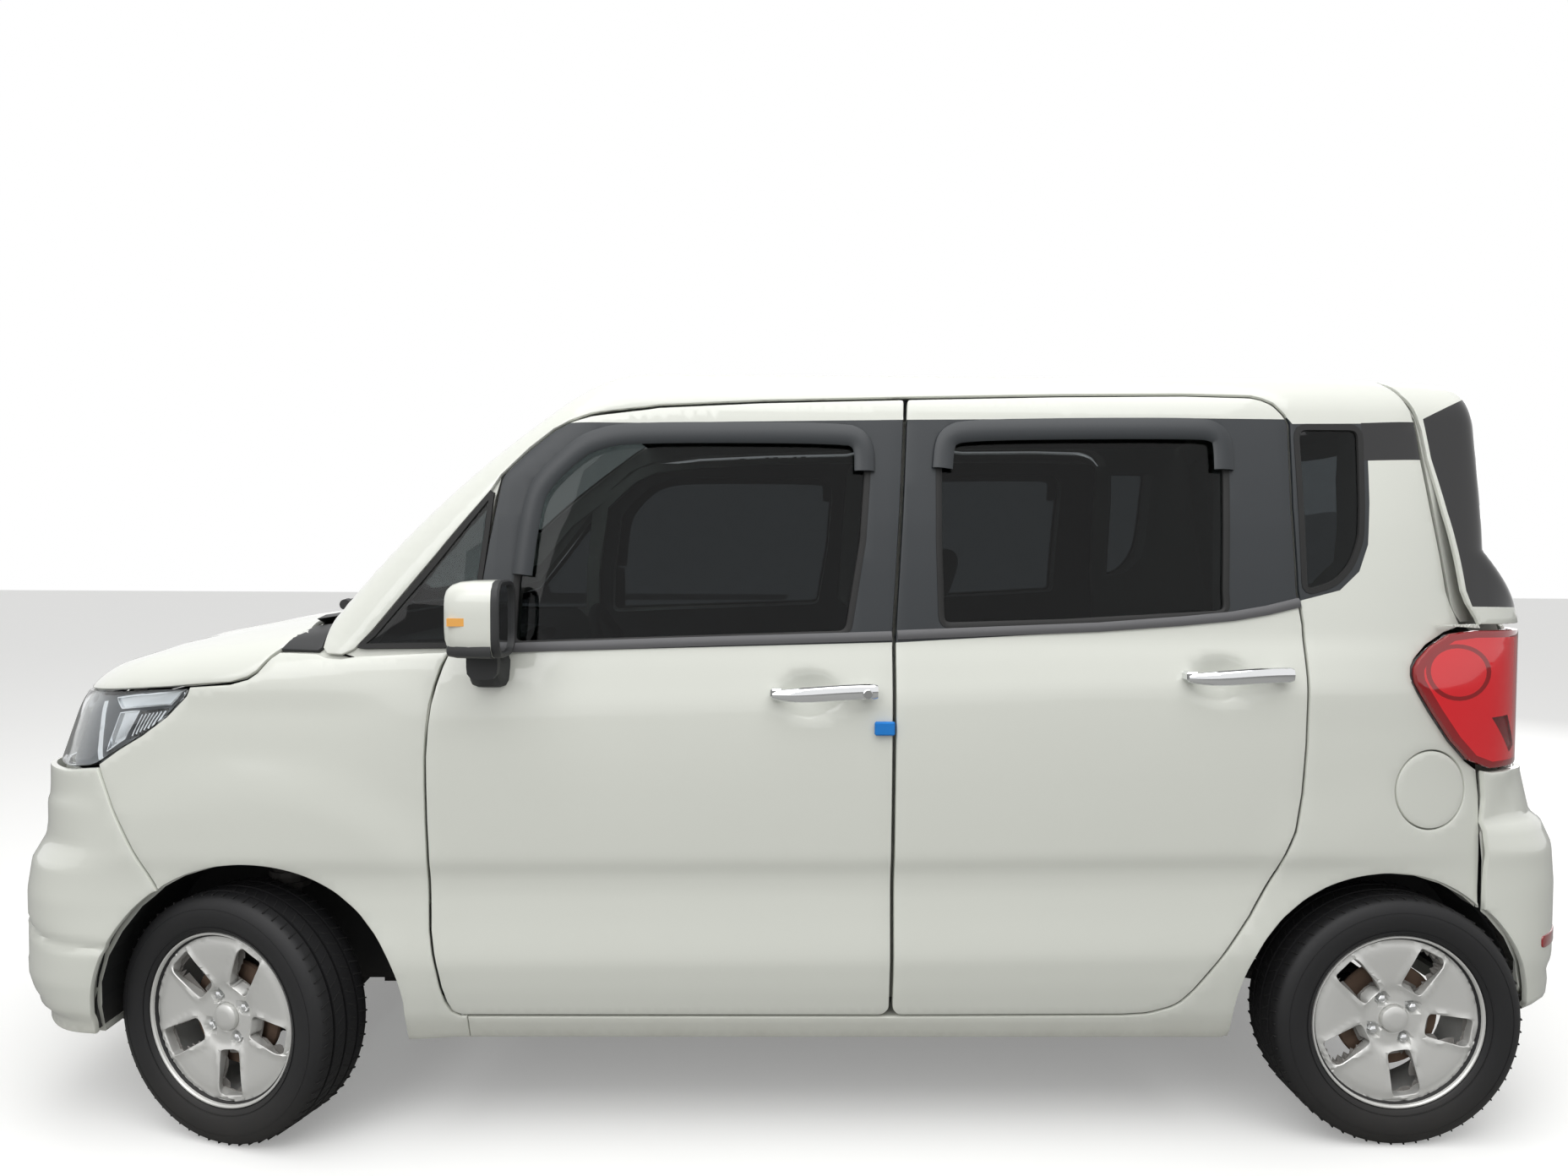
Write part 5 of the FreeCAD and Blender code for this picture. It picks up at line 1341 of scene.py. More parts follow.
def bumpers():
    """Both bumpers, the blank plates and the grip on the tailgate."""
    top = nose_line(np.linspace(0, 62, 36), front_top, field=f_front)
    top = top[top[:, 0] < -1.482]
    seam = on_side(f_front, mm([(-1477, 815), (-1441, 729), (-1395, 640), (-1342, 554)] +
                               arch(ARCH_F, 124.5, 180, 26)[1:] + [(-1494, 228)]))
    low = nose_line(np.linspace(58, 0, 30), lambda x: .226, field=f_front)
    low = low[low[:, 0] < -1.50]
    ring = closed_up(both_halves(np.vstack([top, seam, low])), NOSE, .002)
    mouth = rounded(np.array([(-.42, .345), (.42, .345), (.49, .50), (-.49, .50)]), .03)
    slits = [rounded(np.array([(s * .54, .37), (s * .64, .37), (s * .64, .44), (s * .53, .44)]), .02)
             for s in (-1, 1)]

    def form(p):
        y, z = np.abs(p[:, 1]), p[:, 2]
        wing = np.exp(-((z - (.470 - .25 * (y - .6))) / .010) ** 2) * step01(.52, .60, y)
        lip = np.exp(-((z - .285) / .012) ** 2) * step01(.74, .66, y)
        return -.006 * wing - .006 * lip

    sheet = skin(f_front, NOSE, [ring, mouth] + slits, (.026, .011), rim=.004, thick=.008,
                 bulge=form, slots=(0, 1))
    sheet.join(tucked("front_bumper", f_front, .030, 1))
    for hole in [mouth] + slits:
        sheet.join(skin(f_front, NOSE, [inset(anticlockwise(hole), -.012)], (.04, .02), sink=.034,
                        thick=.004), 2)
    for z in np.linspace(.372, .474, 5):
        half = .415 + (z - .345) * .45
        sheet.join(ribbon(f_front, NOSE, [(-half, z), (0, z), (half, z)], [
            (-.005, -.032), (-.006, -.008), (0, -.006), (.006, -.008), (.005, -.032)], gap=.03), 3)
    for s in (-1, 1):
        lamp = revolve([(-.006, 0), (-.006, .030), (.002, .036), (.022, .034), (.024, 0)], 32)
        spot = put_on(f_front, NOSE, [(s * .588, .405)], -.012)[0]
        sheet.join(placed(lamp, facing(spot, outward(f_front, spot[None])[0])), 4)
    add("front_bumper_skin", sheet, [PAINT, SHADED_JAMB, TRIM, TRIM, LENS], "chassis", "front_bumper")
    plate = block((-.26, -.055, 0), (.26, .055, .006), .003)
    spot = put_on(f_front, NOSE, [(0, .60)], 0)[0]
    turn = Matrix(((0, 0, -1, spot[0] - .001), (1, 0, 0, 0), (0, 1, 0, .585), (0, 0, 0, 1)))
    stand = block((spot[0] + .004, -.20, .545), (spot[0] + .05, .20, .625), .004)
    front = placed(plate, turn)
    add("front_plate", front.join(stand, 1), [PLATE, TRIM], "chassis")
    seam = on_side(f_front, mm([(a + 1, b) for a, b in REAR_SEAM[::-1]]))
    top = nose_line(np.linspace(62, 49, 12), lambda x: .816, 1.0, 1, f_high)
    top = np.vstack([top[top[:, 0] > 1.53][::-1], seam[:1]])
    arc = on_side(f_front, mm(arch(ARCH_R, 48, 0, 20, .002) + [(1632, 236)]))
    low = nose_line(np.linspace(48, 0, 24), lambda x: .240, 1.0, 1, f_low)
    low = low[low[:, 0] > 1.64]
    inner = nose_line(np.linspace(0, 40.5, 22), lambda x: .696, 1.0, 1, f_front)
    inner = inner[np.abs(inner[:, 1]) < .597]
    post = rearward(f_high, [(1.0, -.6015, z) for z in np.linspace(.700, .812, 6)])
    ring = closed_up(both_halves(np.vstack([inner, post, top, seam[1:], arc, low])), TAIL, .002)

    def tail_form(p):
        y, z = np.abs(p[:, 1]), p[:, 2]
        return -.007 * np.exp(-((z - .36) / .016) ** 2) * step01(.74, .66, y)

    dark = np.array([(-.50, .262), (.50, .262), (.55, .345), (-.55, .345)])
    sheet = skin(f_front, TAIL, [ring], (.026, .011), rim=.004, thick=.008, bulge=tail_form,
                 slots=(0, 1), regions=[(dark, 2)])
    sheet.join(tucked("rear_bumper", f_front, .016, 1))
    sheet.v = clear_of_tyre(sheet.v)
    for s in (-1, 1):
        spot = [(s * .54, .425), (s * .63, .425), (s * .63, .452), (s * .54, .452)]
        sheet.join(skin(f_low, TAIL, [anticlockwise(rounded(spot, .008))], (.02, .012), rim=.002,
                        sink=-.002, thick=.006), 3)
    add("rear_bumper_skin", sheet, [PAINT, SHADED_JAMB, TRIM, RED_LENS], "chassis", "rear_bumper")
    spot = rearward(f_body, [(1., 0., .876)])[0]
    turn = Matrix(((0, 0, 1, spot[0] - .016), (1, 0, 0, 0), (0, 1, 0, .876), (0, 0, 0, 1)))
    plate = placed(block((-.26, -.055, .001), (.26, .055, .006), .003), turn)
    for lo, hi in ((-.10, -.04), (.04, .10)):
        plate.join(placed(block((lo, .068, -.002), (hi, .080, .012), .003), turn), 1)
    add("rear_plate", plate, [PLATE, LAMP_GREY], "tailgate")
    base = rearward(f_body, [(1.0, y, 1.02) for y in np.linspace(-.13, .13, 20)])
    fade = 1 - np.abs(np.linspace(-1, 1, 20)) ** 8
    base[:, 0] += .004 * fade - .006
    add("tailgate_grip", tube(base, .012 * (.55 + .45 * fade), 12), [CHROME], "tailgate")


def grille():
    """The painted panel between the headlamps with its slot and bars."""
    top = nose_line(np.linspace(0, 34, 20), lambda x: shut_height(x) - .005)
    top = top[np.abs(top[:, 1]) < .424]
    low = nose_line(np.linspace(34, 0, 20), lambda x: .8075)
    low = low[np.abs(low[:, 1]) < .424]
    ring = closed_up(both_halves(np.vstack([top, low])), NOSE, .001)
    slots = rounded(np.array([(-.33, .842), (.33, .842), (.35, .908), (-.35, .908)]), .02)
    sheet = skin(f_high, NOSE, [ring, slots], (.03, .014), thick=.010, slots=(0, 1))
    sheet.join(skin(f_high, NOSE, [inset(slots, -.01)], (.04, .02), sink=.026, thick=.004), 1)
    for z in (.853, .866, .879, .892):
        sheet.join(ribbon(f_high, NOSE, [(-.33, z), (0, z), (.33, z)], [
            (-.003, -.026), (-.0035, -.006), (.0035, -.006), (.003, -.026)], gap=.03), 2)
    sheet.join(ribbon(f_high, NOSE, anticlockwise(slots), [
        (-.004, -.002), (-.004, .003), (.003, .004), (.006, .001), (.006, -.004)], True), 3)
    add("grille_skin", sheet, [PAINT, TRIM, GLOSS_BLACK, CHROME], "chassis", "grille")


LAMP_END = .4305


def lamps():
    """Headlamps and tail lamps."""
    top = nose_line(np.linspace(20, 70, 38), lambda x: shut_height(x) - .0015)
    top = beyond(top, LAMP_END)
    top = top[top[:, 0] < -1.285]
    back = on_side(f_high, mm([(-1271, 990), (-1279, 970), (-1323, 926), (-1376, 886), (-1430, 854),
                               (-1482, 823), (-1500, 817)]))
    low = nose_line(np.linspace(58, 20, 28), lambda x: front_top(x) + .0025)
    low = beyond(low, LAMP_END)
    low = low[low[:, 0] < -1.51]
    ring = closed_up(np.vstack([top, back, low]), NOSE, .001)
    lens = skin(f_high, NOSE, [ring], (.018, .012), rim=.004, thick=.003)
    bar = patch(NOSE, [(-1456, 966), (-1294, 981), (-1322, 953), (-1438, 942)])
    panel = patch(NOSE, [(-1442, 932), (-1395, 937), (-1429, 878), (-1474, 850)])
    fins = patch(NOSE, [(-1392, 936), (-1330, 946), (-1350, 912), (-1424, 876)])
    guide = patch(NOSE, [(-1512, 958), (-1496, 960), (-1494, 835), (-1508, 832)])
    base = skin(f_high, NOSE, [inset(ring, .003)], (.014, .009), rim=.003, sink=.024, thick=.004,
                regions=[(bar, 1), (panel, 2), (fins, 3), (guide, 1)])
    for k in range(7):
        fin = patch(NOSE, [(-1388 + 9 * k, 930 + 1.5 * k), (-1412 + 9 * k, 884 + 4.5 * k)])
        base.join(ribbon(f_high, NOSE, fin, [(-.0012, -.026), (-.0012, -.019), (.0012, -.019),
                                                (.0012, -.026)], gap=.03), 2)
    for loop in (bar, panel):
        base.join(ribbon(f_high, NOSE, anticlockwise(loop), [
            (-.002, -.026), (-.002, -.018), (.001, -.018), (.002, -.026)], True, .02), 2)
    bowl = revolve([(-.004, 0), (-.004, .046), (.004, .050), (.012, .048), (.016, .030), (.012, .012),
                    (.022, .006), (.022, 0)], 40)
    for turn in (.565, .495):
        spot = put_on(f_high, NOSE, [(-turn, .885)], -.030)[0]
        way = outward(f_high, spot[None])[0] * np.array([1, 1, 0])
        base.join(placed(bowl, facing(spot, way) @ Matrix.Diagonal((.8, .8, .8, 1))), 2)
    both_sides("headlamp", lens.join(base, 1),
               [LENS, LAMP_GREY, WHITE_BAR, LAMP_SILVER, GLOSS_BLACK], "chassis", "headlamp")
    side = on_side(f_high, mm([(a + 2, b) for a, b in TAIL_LAMP[1:-1]]))
    top = nose_line(np.linspace(61, 41, 14), lambda x: 1.1265, 1.0, 1)
    top = top[(np.abs(top[:, 1]) > .603) & (top[:, 0] > 1.49)]
    low = nose_line(np.linspace(41, 60, 14), lambda x: .8215, 1.0, 1)
    low = low[(np.abs(low[:, 1]) > .603) & (low[:, 0] > 1.53)]
    post = rearward(f_high, [(1.0, -.603, z) for z in np.linspace(1.12, .828, 12)])
    ring = closed_up(np.vstack([side, top, post, low]), TAIL, .0012)
    clear = patch(TAIL, [(1540, 935), (1590, 938), (1620, 868), (1600, 855)])
    inner = inset(ring, .016)
    t = np.linspace(0, 2 * math.pi, 32, endpoint=False)
    middle = patch(TAIL, [(1455, 1035)])[0]
    round_lamp = np.stack([middle[0] + .055 * np.cos(t), middle[1] + .052 * np.sin(t)], -1)
    ringed = np.stack([middle[0] + .064 * np.cos(t), middle[1] + .061 * np.sin(t)], -1)
    lens = skin(f_high, TAIL, [ring], (.016, .011), rim=.005, thick=.006,
                regions=[(inner, 1), (ringed, 0), (round_lamp, 1), (clear, 2)])
    lens.join(skin(f_high, TAIL, [inset(ring, .002)], (.03, .02), rim=.003, sink=.020, thick=.004), 3)
    both_sides("tail_lamp", lens, [RED_LENS, RED_GLOW, LENS, LAMP_SILVER], "chassis", "tail_lamp")


def loft(rings):
    """A closed form through rings of equally many points."""
    m = len(rings[0])
    verts = [v for ring in rings for v in ring]
    faces = [(i * m + j, i * m + (j + 1) % m, (i + 1) * m + (j + 1) % m, (i + 1) * m + j)
             for i in range(len(rings) - 1) for j in range(m)]
    faces += [tuple(range(m))[::-1], tuple(range((len(rings) - 1) * m, len(rings) * m))]
    return outwards(Sheet().add(verts, faces))


def squircle(centre, half_a, half_b, count=28, power=4.5):
    """Points of a rounded rectangle about a centre, in two directions."""
    out = []
    for t in np.linspace(0, 2 * math.pi, count, endpoint=False):
        c, s = math.cos(t), math.sin(t)
        k = (abs(c) ** power + abs(s) ** power) ** (-1 / power)
        out.append((centre[0] + half_a * c * k, centre[1] + half_b * s * k))
    return out


def across(stations, centre, half_a, half_b, count=28, power=4.5):
    """A closed form of rounded rectangles at stations of x and scale."""
    return loft([[(x, y, z) for y, z in squircle(centre, half_a * k, half_b * k, count, power)]
                 for x, k in stations])


def mirrors():
    """The mirrors with their feet on the front doors."""
    centre = (-.8705, 1.148)
    shell = []
    for x, k in ((-.6855, .62), (-.682, .74), (-.672, .87), (-.655, .955), (-.63, .99), (-.60, 1),
                 (-.586, 1)):
        tilt = .012 * (1 - k)
        shell.append([(x, y, z + tilt) for y, z in squircle(centre, .0735 * k, .0785 * k)])
    bezel = ((-.586, 1.0), (-.585, 1.004), (-.574, 1.0), (-.570, .96), (-.570, .88), (-.578, .86))
    sheet = loft(shell).join(across(bezel, centre, .0735, .0785), 1)
    sheet.join(across(((-.5795, 1), (-.5772, 1)), centre, .0625, .0665), 2)
    low = ((-.684, .5), (-.676, .8), (-.655, .97), (-.60, 1.02), (-.587, 1.02))
    sheet.join(across(low, (-.870, 1.086), .071, .0165, 24), 1)
    strip = []
    for k in range(12):
        t = k / 11
        y = -.9425 + .018 * (1 - math.cos(t * 1.2))
        strip.append([(-.672 + .080 * t, y - .0012 - .001 * math.sin(t * 3.1), z)
                      for z in (1.136, 1.152)] +
                     [(-.672 + .080 * t, y + .008, z) for z in (1.152, 1.136)])
    sheet.join(loft(strip), 3)
    foot = []
    for y, k in ((-.772, 1.1), (-.786, 1.0), (-.812, .86), (-.830, .80), (-.846, .78)):
        z = 1.032 + (.018 if y < -.82 else 0)
        foot.append([(x, y, v) for x, v in squircle((-.628, z), .040 * k, .036 * k, 24)])
    sheet.join(loft(foot), 1)
    neck = [[(x, -.835 + d, v) for x, v in squircle((-.626, 1.06), .032, .040, 20)]
            for d in (0, -.022)]
    sheet.join(loft(neck), 1)
    both_sides("mirror", sheet, [PAINT, TRIM, CHROME, AMBER], "door_front_*", "mirror")


class FlatChart:
    """The wheel's own face: straight across the axle."""
    def rays(self, uv):
        o = np.stack([uv[:, 0], 0 * uv[:, 0], uv[:, 1]], -1)
        return o, np.repeat([[0., -1., 0.]], len(uv), 0)

    def flat(self, p):
        return p[:, [0, 2]]


NUTS = [math.radians(a) for a in (30, 120, 210, 300)]
SPOKES = [math.radians(-81.5 + 72 * k) for k in range(5)]


def wheel_face(x, y, z):
    """Depth of the cast face: hub, recesses round the nuts, and spokes that rise to the rim."""
    r = np.hypot(x, z)
    h = np.interp(r, [0, .029, .033, .036, .062, .078, .10, .14, .160, .172, .180, .186],
                  [.0565, .0565, .049, .0475, .0475, .053, .0565, .0605, .0610, .0585, .0560, .0600])
    for a in NUTS:
        away = np.hypot(x - .05 * math.cos(a), z - .05 * math.sin(a))
        h = h - .014 * step01(.0155, .0125, away)
    for a in SPOKES:
        u = x * math.cos(a) + z * math.sin(a)
        v = np.abs(-x * math.sin(a) + z * math.cos(a))
        lip = np.exp(-((v - .033) / .004) ** 2) * step01(.066, .074, u) * step01(.176, .168, u)
        ends = np.exp(-((u - .0695) / .004) ** 2) + np.exp(-((u - .1715) / .004) ** 2)
        ends = ends * step01(.031, .027, v)
        h = h + .0035 * (lip + ends * (u > 0))
    return y - h


def baked(piece):
    """A piece's mesh with its modifiers, as a sheet; the piece itself is removed."""
    graph = bpy.context.evaluated_depsgraph_get()
    mesh = bpy.data.meshes.new_from_object(piece.evaluated_get(graph))
    made = Sheet().add([v.co for v in mesh.vertices], [tuple(p.vertices) for p in mesh.polygons])
    bpy.data.objects.remove(piece)
    bpy.data.meshes.remove(mesh)
    return made


def around(sheet, count, name, material):
    """One small form repeated round the axle."""
    source = sheet.piece(name + "_one", [material])
    tree = bpy.data.node_groups.new(name, "GeometryNodeTree")
    tree.interface.new_socket("Geometry", in_out="INPUT", socket_type="NodeSocketGeometry")
    tree.interface.new_socket("Count", in_out="INPUT", socket_type="NodeSocketInt")
    tree.interface.new_socket("Geometry", in_out="OUTPUT", socket_type="NodeSocketGeometry")
    make = tree.nodes.new
    given, line, spin = make("NodeGroupInput"), make("GeometryNodeMeshLine"), make("ShaderNodeCombineXYZ")
    index, step, turn = make("GeometryNodeInputIndex"), make("ShaderNodeMath"), make("ShaderNodeMath")
    place, real = make("GeometryNodeInstanceOnPoints"), make("GeometryNodeRealizeInstances")
    paint, out = make("GeometryNodeSetMaterial"), make("NodeGroupOutput")
    line.inputs["Offset"].default_value = (0, 0, 0)
    step.operation, turn.operation = "DIVIDE", "MULTIPLY"
    step.inputs[0].default_value = 2 * math.pi
    link = tree.links.new
    link(given.outputs[1], line.inputs["Count"])
    link(given.outputs[1], step.inputs[1])
    link(index.outputs[0], turn.inputs[0])
    link(step.outputs[0], turn.inputs[1])
    link(turn.outputs[0], spin.inputs["Y"])
    link(line.outputs[0], place.inputs["Points"])
    link(given.outputs[0], place.inputs["Instance"])
    link(spin.outputs[0], place.inputs["Rotation"])
    link(place.outputs[0], real.inputs[0])
    link(real.outputs[0], paint.inputs["Geometry"])
    paint.inputs["Material"].default_value = material
    link(paint.outputs[0], out.inputs[0])
    modifier = source.modifiers.new(name, "NODES")
    modifier.node_group = tree
    modifier[tree.interface.items_tree["Count"].identifier] = count
    return baked(source)


def wheel_sheets():
    """Rim and tyre with their axle along y, the outside towards -y."""
    t = np.linspace(0, 2 * math.pi, 96, endpoint=False)
    edge = np.stack([.186 * np.cos(t), .186 * np.sin(t)], -1)
    hub = np.stack([.0335 * np.cos(t[::3]), .0335 * np.sin(t[::3])], -1)
    holes = [hub]
    for a in SPOKES:
        window = rounded(np.array([(.0695, -.0245), (.152, -.0300), (.1655, -.027), (.1655, .027),
                                   (.152, .0300), (.0695, .0245)]), .013)
        c, s = math.cos(a), math.sin(a)
        holes.append(np.stack([window[:, 0] * c - window[:, 1] * s,
                               window[:, 0] * s + window[:, 1] * c], -1))
    rim = skin(wheel_face, FlatChart(), [edge] + holes, (.0075, .0075), rim=.002, thick=.024,
               slots=(0, 1))
    rim.join(revolve([(-.0700, .1895), (-.0700, .1870), (-.0675, .1845), (-.0560, .1825),
                      (-.052, .181), (-.030, .176), (.030, .170), (.055, .172), (.066, .182),
                      (.070, .190), (.066, .1905), (.060, .184), (-.058, .184), (-.0655, .1905)], 96))
    cap = [(-.0545, 0), (-.0590, 0), (-.0588, .014), (-.0575, .024), (-.0545, .0285), (-.049, .0295),
           (-.044, .0295), (-.044, 0)]
    rim.join(revolve(cap, 48, slots=[2] * len(cap)))
    nut = [(-.0300, 0), (-.0505, 0), (-.0500, .0045), (-.0475, .0085), (-.0440, .0098),
           (-.0340, .0098), (-.0335, .0115), (-.0300, .0115)]
    for a in NUTS:
        rim.join(placed(revolve(nut, 6), Matrix.Translation((.05 * math.cos(a), 0, .05 * math.sin(a)))), 3)
    disc = [(-.020, .046), (-.020, .112), (-.016, .115), (-.012, .115), (-.008, .112), (-.008, .046)]
    rim.join(revolve(disc, 64), 4)
    rim.join(revolve([(-.024, 0), (-.024, .058), (-.020, .064), (-.004, .064), (-.004, 0)], 48), 4)
    lip = [(-.0602, .1795), (-.0640, .1850), (-.0668, .1915), (-.0705, .1930)]
    wall = [(-.0722, .1950), (-.0768, .205), (-.0803, .216), (-.0818, .228), (-.0818, .238),
            (-.0796, .250), (-.0757, .259), (-.0706, .2652), (-.0650, .2690), (-.0560, .2706),
            (-.0405, .2712), (-.0400, .2655), (-.0340, .2655), (-.0335, .2716), (-.0035, .2718),
            (-.0030, .2655)]
    tyre = revolve(lip + wall + [(-y, r) for y, r in wall[::-1]] + [(.0668, .1915), (.0602, .1795)], 144)
    for r0, r1, out in ((.2020, .2032, .0008), (.2440, .2450, .0008)):
        y = -np.interp(r0, [.205, .216, .228, .238, .250], [.0768, .0803, .0818, .0818, .0796])
        tyre.join(revolve([(y + .003, r0), (y - out, r0), (y - out, r1), (y + .003, r1)], 96))
    groove = placed(block((-.0016, -.0145, -.003), (.0016, .0145, .0030), .0004),
                    Matrix.Translation((0, -.0195, .2695)) @ Matrix.Rotation(.5, 4, "Z"))
    for y, turn in ((.0195, -.5), (-.0545, .25), (.0545, -.25)):
        one = block((-.0016, -.0125, -.003), (.0016, .0125, .0030), .0004)
        groove.join(placed(one, Matrix.Translation((.006, y, .2692)) @ Matrix.Rotation(turn, 4, "Z")))
    return rim, tyre.join(around(groove, 62, "tread_cuts", TREAD_CUT), 1)


def wheels():
    """Four rims and tyres on their wheel bodies; the front pair stands as in the picture."""
    rim, tyre = wheel_sheets()
    spots = {"front_left": (-1.1933, -.7023, -18), "front_right": (-1.1717, .7023, -18),
             "rear_left": (REAR_AXLE, -.704, 0), "rear_right": (REAR_AXLE, .704, 0)}
    for name, (x, y, turn) in spots.items():
        place = Matrix.Translation((x, y, AXLE_HEIGHT)) @ Matrix.Rotation(math.radians(turn), 4, "Z")
        if name.endswith("right"):
            place = place @ Matrix.Diagonal((1, -1, 1, 1))
        add("rim_%s_skin" % name, placed(rim, place), [ALLOY, RIM_DARK, ALLOY, CHROME, BRAKE],
            "wheel_" + name, "rim_" + name, angle=30)
        add("tyre_%s_skin" % name, placed(tyre, place), [TYRE, TREAD_CUT], "wheel_" + name,
            "tyre_" + name, angle=40)


def leaning(corner, lean=13):
    """A seat back's own frame: depth, width and height, leaning rearwards by degrees."""
    return Matrix.Translation(corner) @ Matrix.Rotation(math.radians(lean), 4, "Y")


def swell(name, form, low, voxel, reach):
    """Blow one stuffed form up like a sewn cover over foam; what rests below stays flat."""
    piece = form.piece(name, [CLOTH])
    remesh = piece.modifiers.new("cover", "REMESH")
    remesh.mode, remesh.voxel_size = "VOXEL", voxel
    graph = bpy.context.evaluated_depsgraph_get()
    mesh = bpy.data.meshes.new_from_object(piece.evaluated_get(graph))
    piece.modifiers.remove(remesh)
    piece.data = mesh
    start = np.array([v.co for v in mesh.vertices])
    end = start
    pins = piece.vertex_groups.new(name="rest")
    pins.add([int(i) for i in np.nonzero(start[:, 2] < low)[0]], 1.0, "REPLACE")
    cloth = piece.modifiers.new("stuffing", "CLOTH")
    cover = cloth.settings
    cover.quality = 4
    cover.use_pressure = True
    cover.uniform_pressure_force = 4
    cover.vertex_group_mass = "rest"
    cover.effector_weights.gravity = 0
    cloth.collision_settings.use_collision = False
    cloth.point_cache.frame_start, cloth.point_cache.frame_end = 1, 20
    for frame_number in range(1, 21):
        bpy.context.scene.frame_set(frame_number)
    graph = bpy.context.evaluated_depsgraph_get()
    moved = piece.evaluated_get(graph).to_mesh()
    end = np.array([v.co for v in moved.vertices])
    bpy.context.scene.frame_set(1)
    move = end - start
    far = np.maximum(np.linalg.norm(move, axis=1, keepdims=True), 1e-9)
    end = start + move * np.minimum(1, reach / far)
    made = Sheet().add(end, [tuple(p.vertices) for p in mesh.polygons])
    bpy.data.objects.remove(piece)
    bpy.data.meshes.remove(mesh)
    return made


def smoothed(sheet):
    """A sheet after one round of subdivision."""
    piece = sheet.piece("soft", [CLOTH])
    piece.modifiers.new("smooth", "SUBSURF").levels = 1
    return baked(piece)


def piping(sheet, lines, radius=.0024):
    """Sewn piping laid on the cover, each line drawn down to the nearest cloth."""
    tree = BVHTree.FromPolygons([Vector(v) for v in sheet.v], [tuple(f) for f in sheet.f])
    out = Sheet()
    for line in lines:
        path = dense(np.array(line), .02, False)
        spots = [tree.find_nearest(Vector(p))[0] for p in path]
        out.join(tube(np.array([tuple(p) for p in spots]), radius, 6))
    return out


def seats():
    """Two front seats and the rear bench: swollen covers with piping, over hard frames."""
    cushion = block((-.232, -.165, .310), (.236, .165, .452), .03)
    for s in (-1, 1):
        lo, hi = sorted((s * .150, s * .222))
        cushion.join(block((-.215, lo, .312), (.225, hi, .466), .03))
    back = block((.022, -.160, .03), (.084, .160, .668), .028)
    for s in (-1, 1):
        lo, hi = sorted((s * .145, s * .222))
        back.join(block((.006, lo, .03), (.084, hi, .610), .03))
    head = block((.012, -.112, .012), (.068, .112, .158), .026)
    lean = leaning((.17, 0, .44))
    form = cushion.join(placed(back, lean)).join(placed(head, leaning((.335, 0, 1.16))))
    soft = smoothed(swell("seat_form", form, .325, .015, .014))
    lines = [[(-.20, s * .150, .50), (.16, s * .150, .50)] for s in (-1, 1)]
    lines += [[(-.08, -.145, .50), (-.08, .145, .50)], [(-.21, -.14, .50), (-.21, .14, .50)]]
    up = [np.array(lean @ Vector((-.01, y, z))) for y, z in
          ((-.15, .10), (-.15, .60), (.15, .60), (.15, .10))]
    lines += [[up[0], up[1]], [up[1], up[2]], [up[2], up[3]],
              [(up[0] + up[1]) / 2, (up[2] + up[3]) / 2]]
    cords = piping(soft, lines)
    rods = Sheet()
    for s in (-.055, .055):
        rods.join(tube(np.array([(.375, s, 1.09), (.383, s, 1.13), (.395, s, 1.19)]), .0055, 10))
    base = block((-.205, -.195, .2505), (.215, .195, .298), .008)
    for s in (-1, 1):
        base.join(block((-.19, s * .16 - .018, .2503), (.20, s * .16 + .018, .262), .003))
        base.join(block((.12, s * .215 - .012, .302), (.262, s * .215 + .012, .40), .01))
    for stem, y in (("driver_seat", -SEAT_SIDE), ("passenger_seat", SEAT_SIDE)):
        shift = Matrix.Translation((0, y, 0))
        whole = placed(soft, shift).join(placed(cords, shift), 1)
        piece = add(stem + "_cover", whole, [CLOTH, CLOTH_SIDE], "chassis", stem, angle=60)
        hard = placed(base, shift).join(placed(rods, shift), 1)
        add(stem + "_frame", hard, [TRIM, CHROME], "chassis")
    bench = block((.638, -.485, .436), (1.03, .485, .536), .03)
    lean = leaning((.98, 0, .493), 11)
    bench.join(placed(block((.014, -.485, .03), (.092, .485, .608), .03), lean))
    soft = smoothed(swell("bench_form", bench, .447, .017, .014))
    lines = [[(.65, y, .58), (.98, y, .58)] for y in (-.17, .17)]
    lines.append([(.80, -.46, .58), (.80, .46, .58)])
    for y in (-.17, .17):
        lines.append([np.array(lean @ Vector((-.01, y, z))) for z in (.09, .58)])
    lines.append([np.array(lean @ Vector((-.01, y, .30))) for y in (-.46, .46)])
    whole = soft.join(piping(soft, lines), 1)
    piece = add("rear_bench_cover", whole, [CLOTH, CLOTH_SIDE], "chassis", "rear_bench", angle=60)


def column_axis():
    """The steering column's frame at the middle of the steering wheel."""
    return Matrix.Translation(WHEEL_HAND) @ Matrix.Rotation(math.radians(-28), 4, "Y")


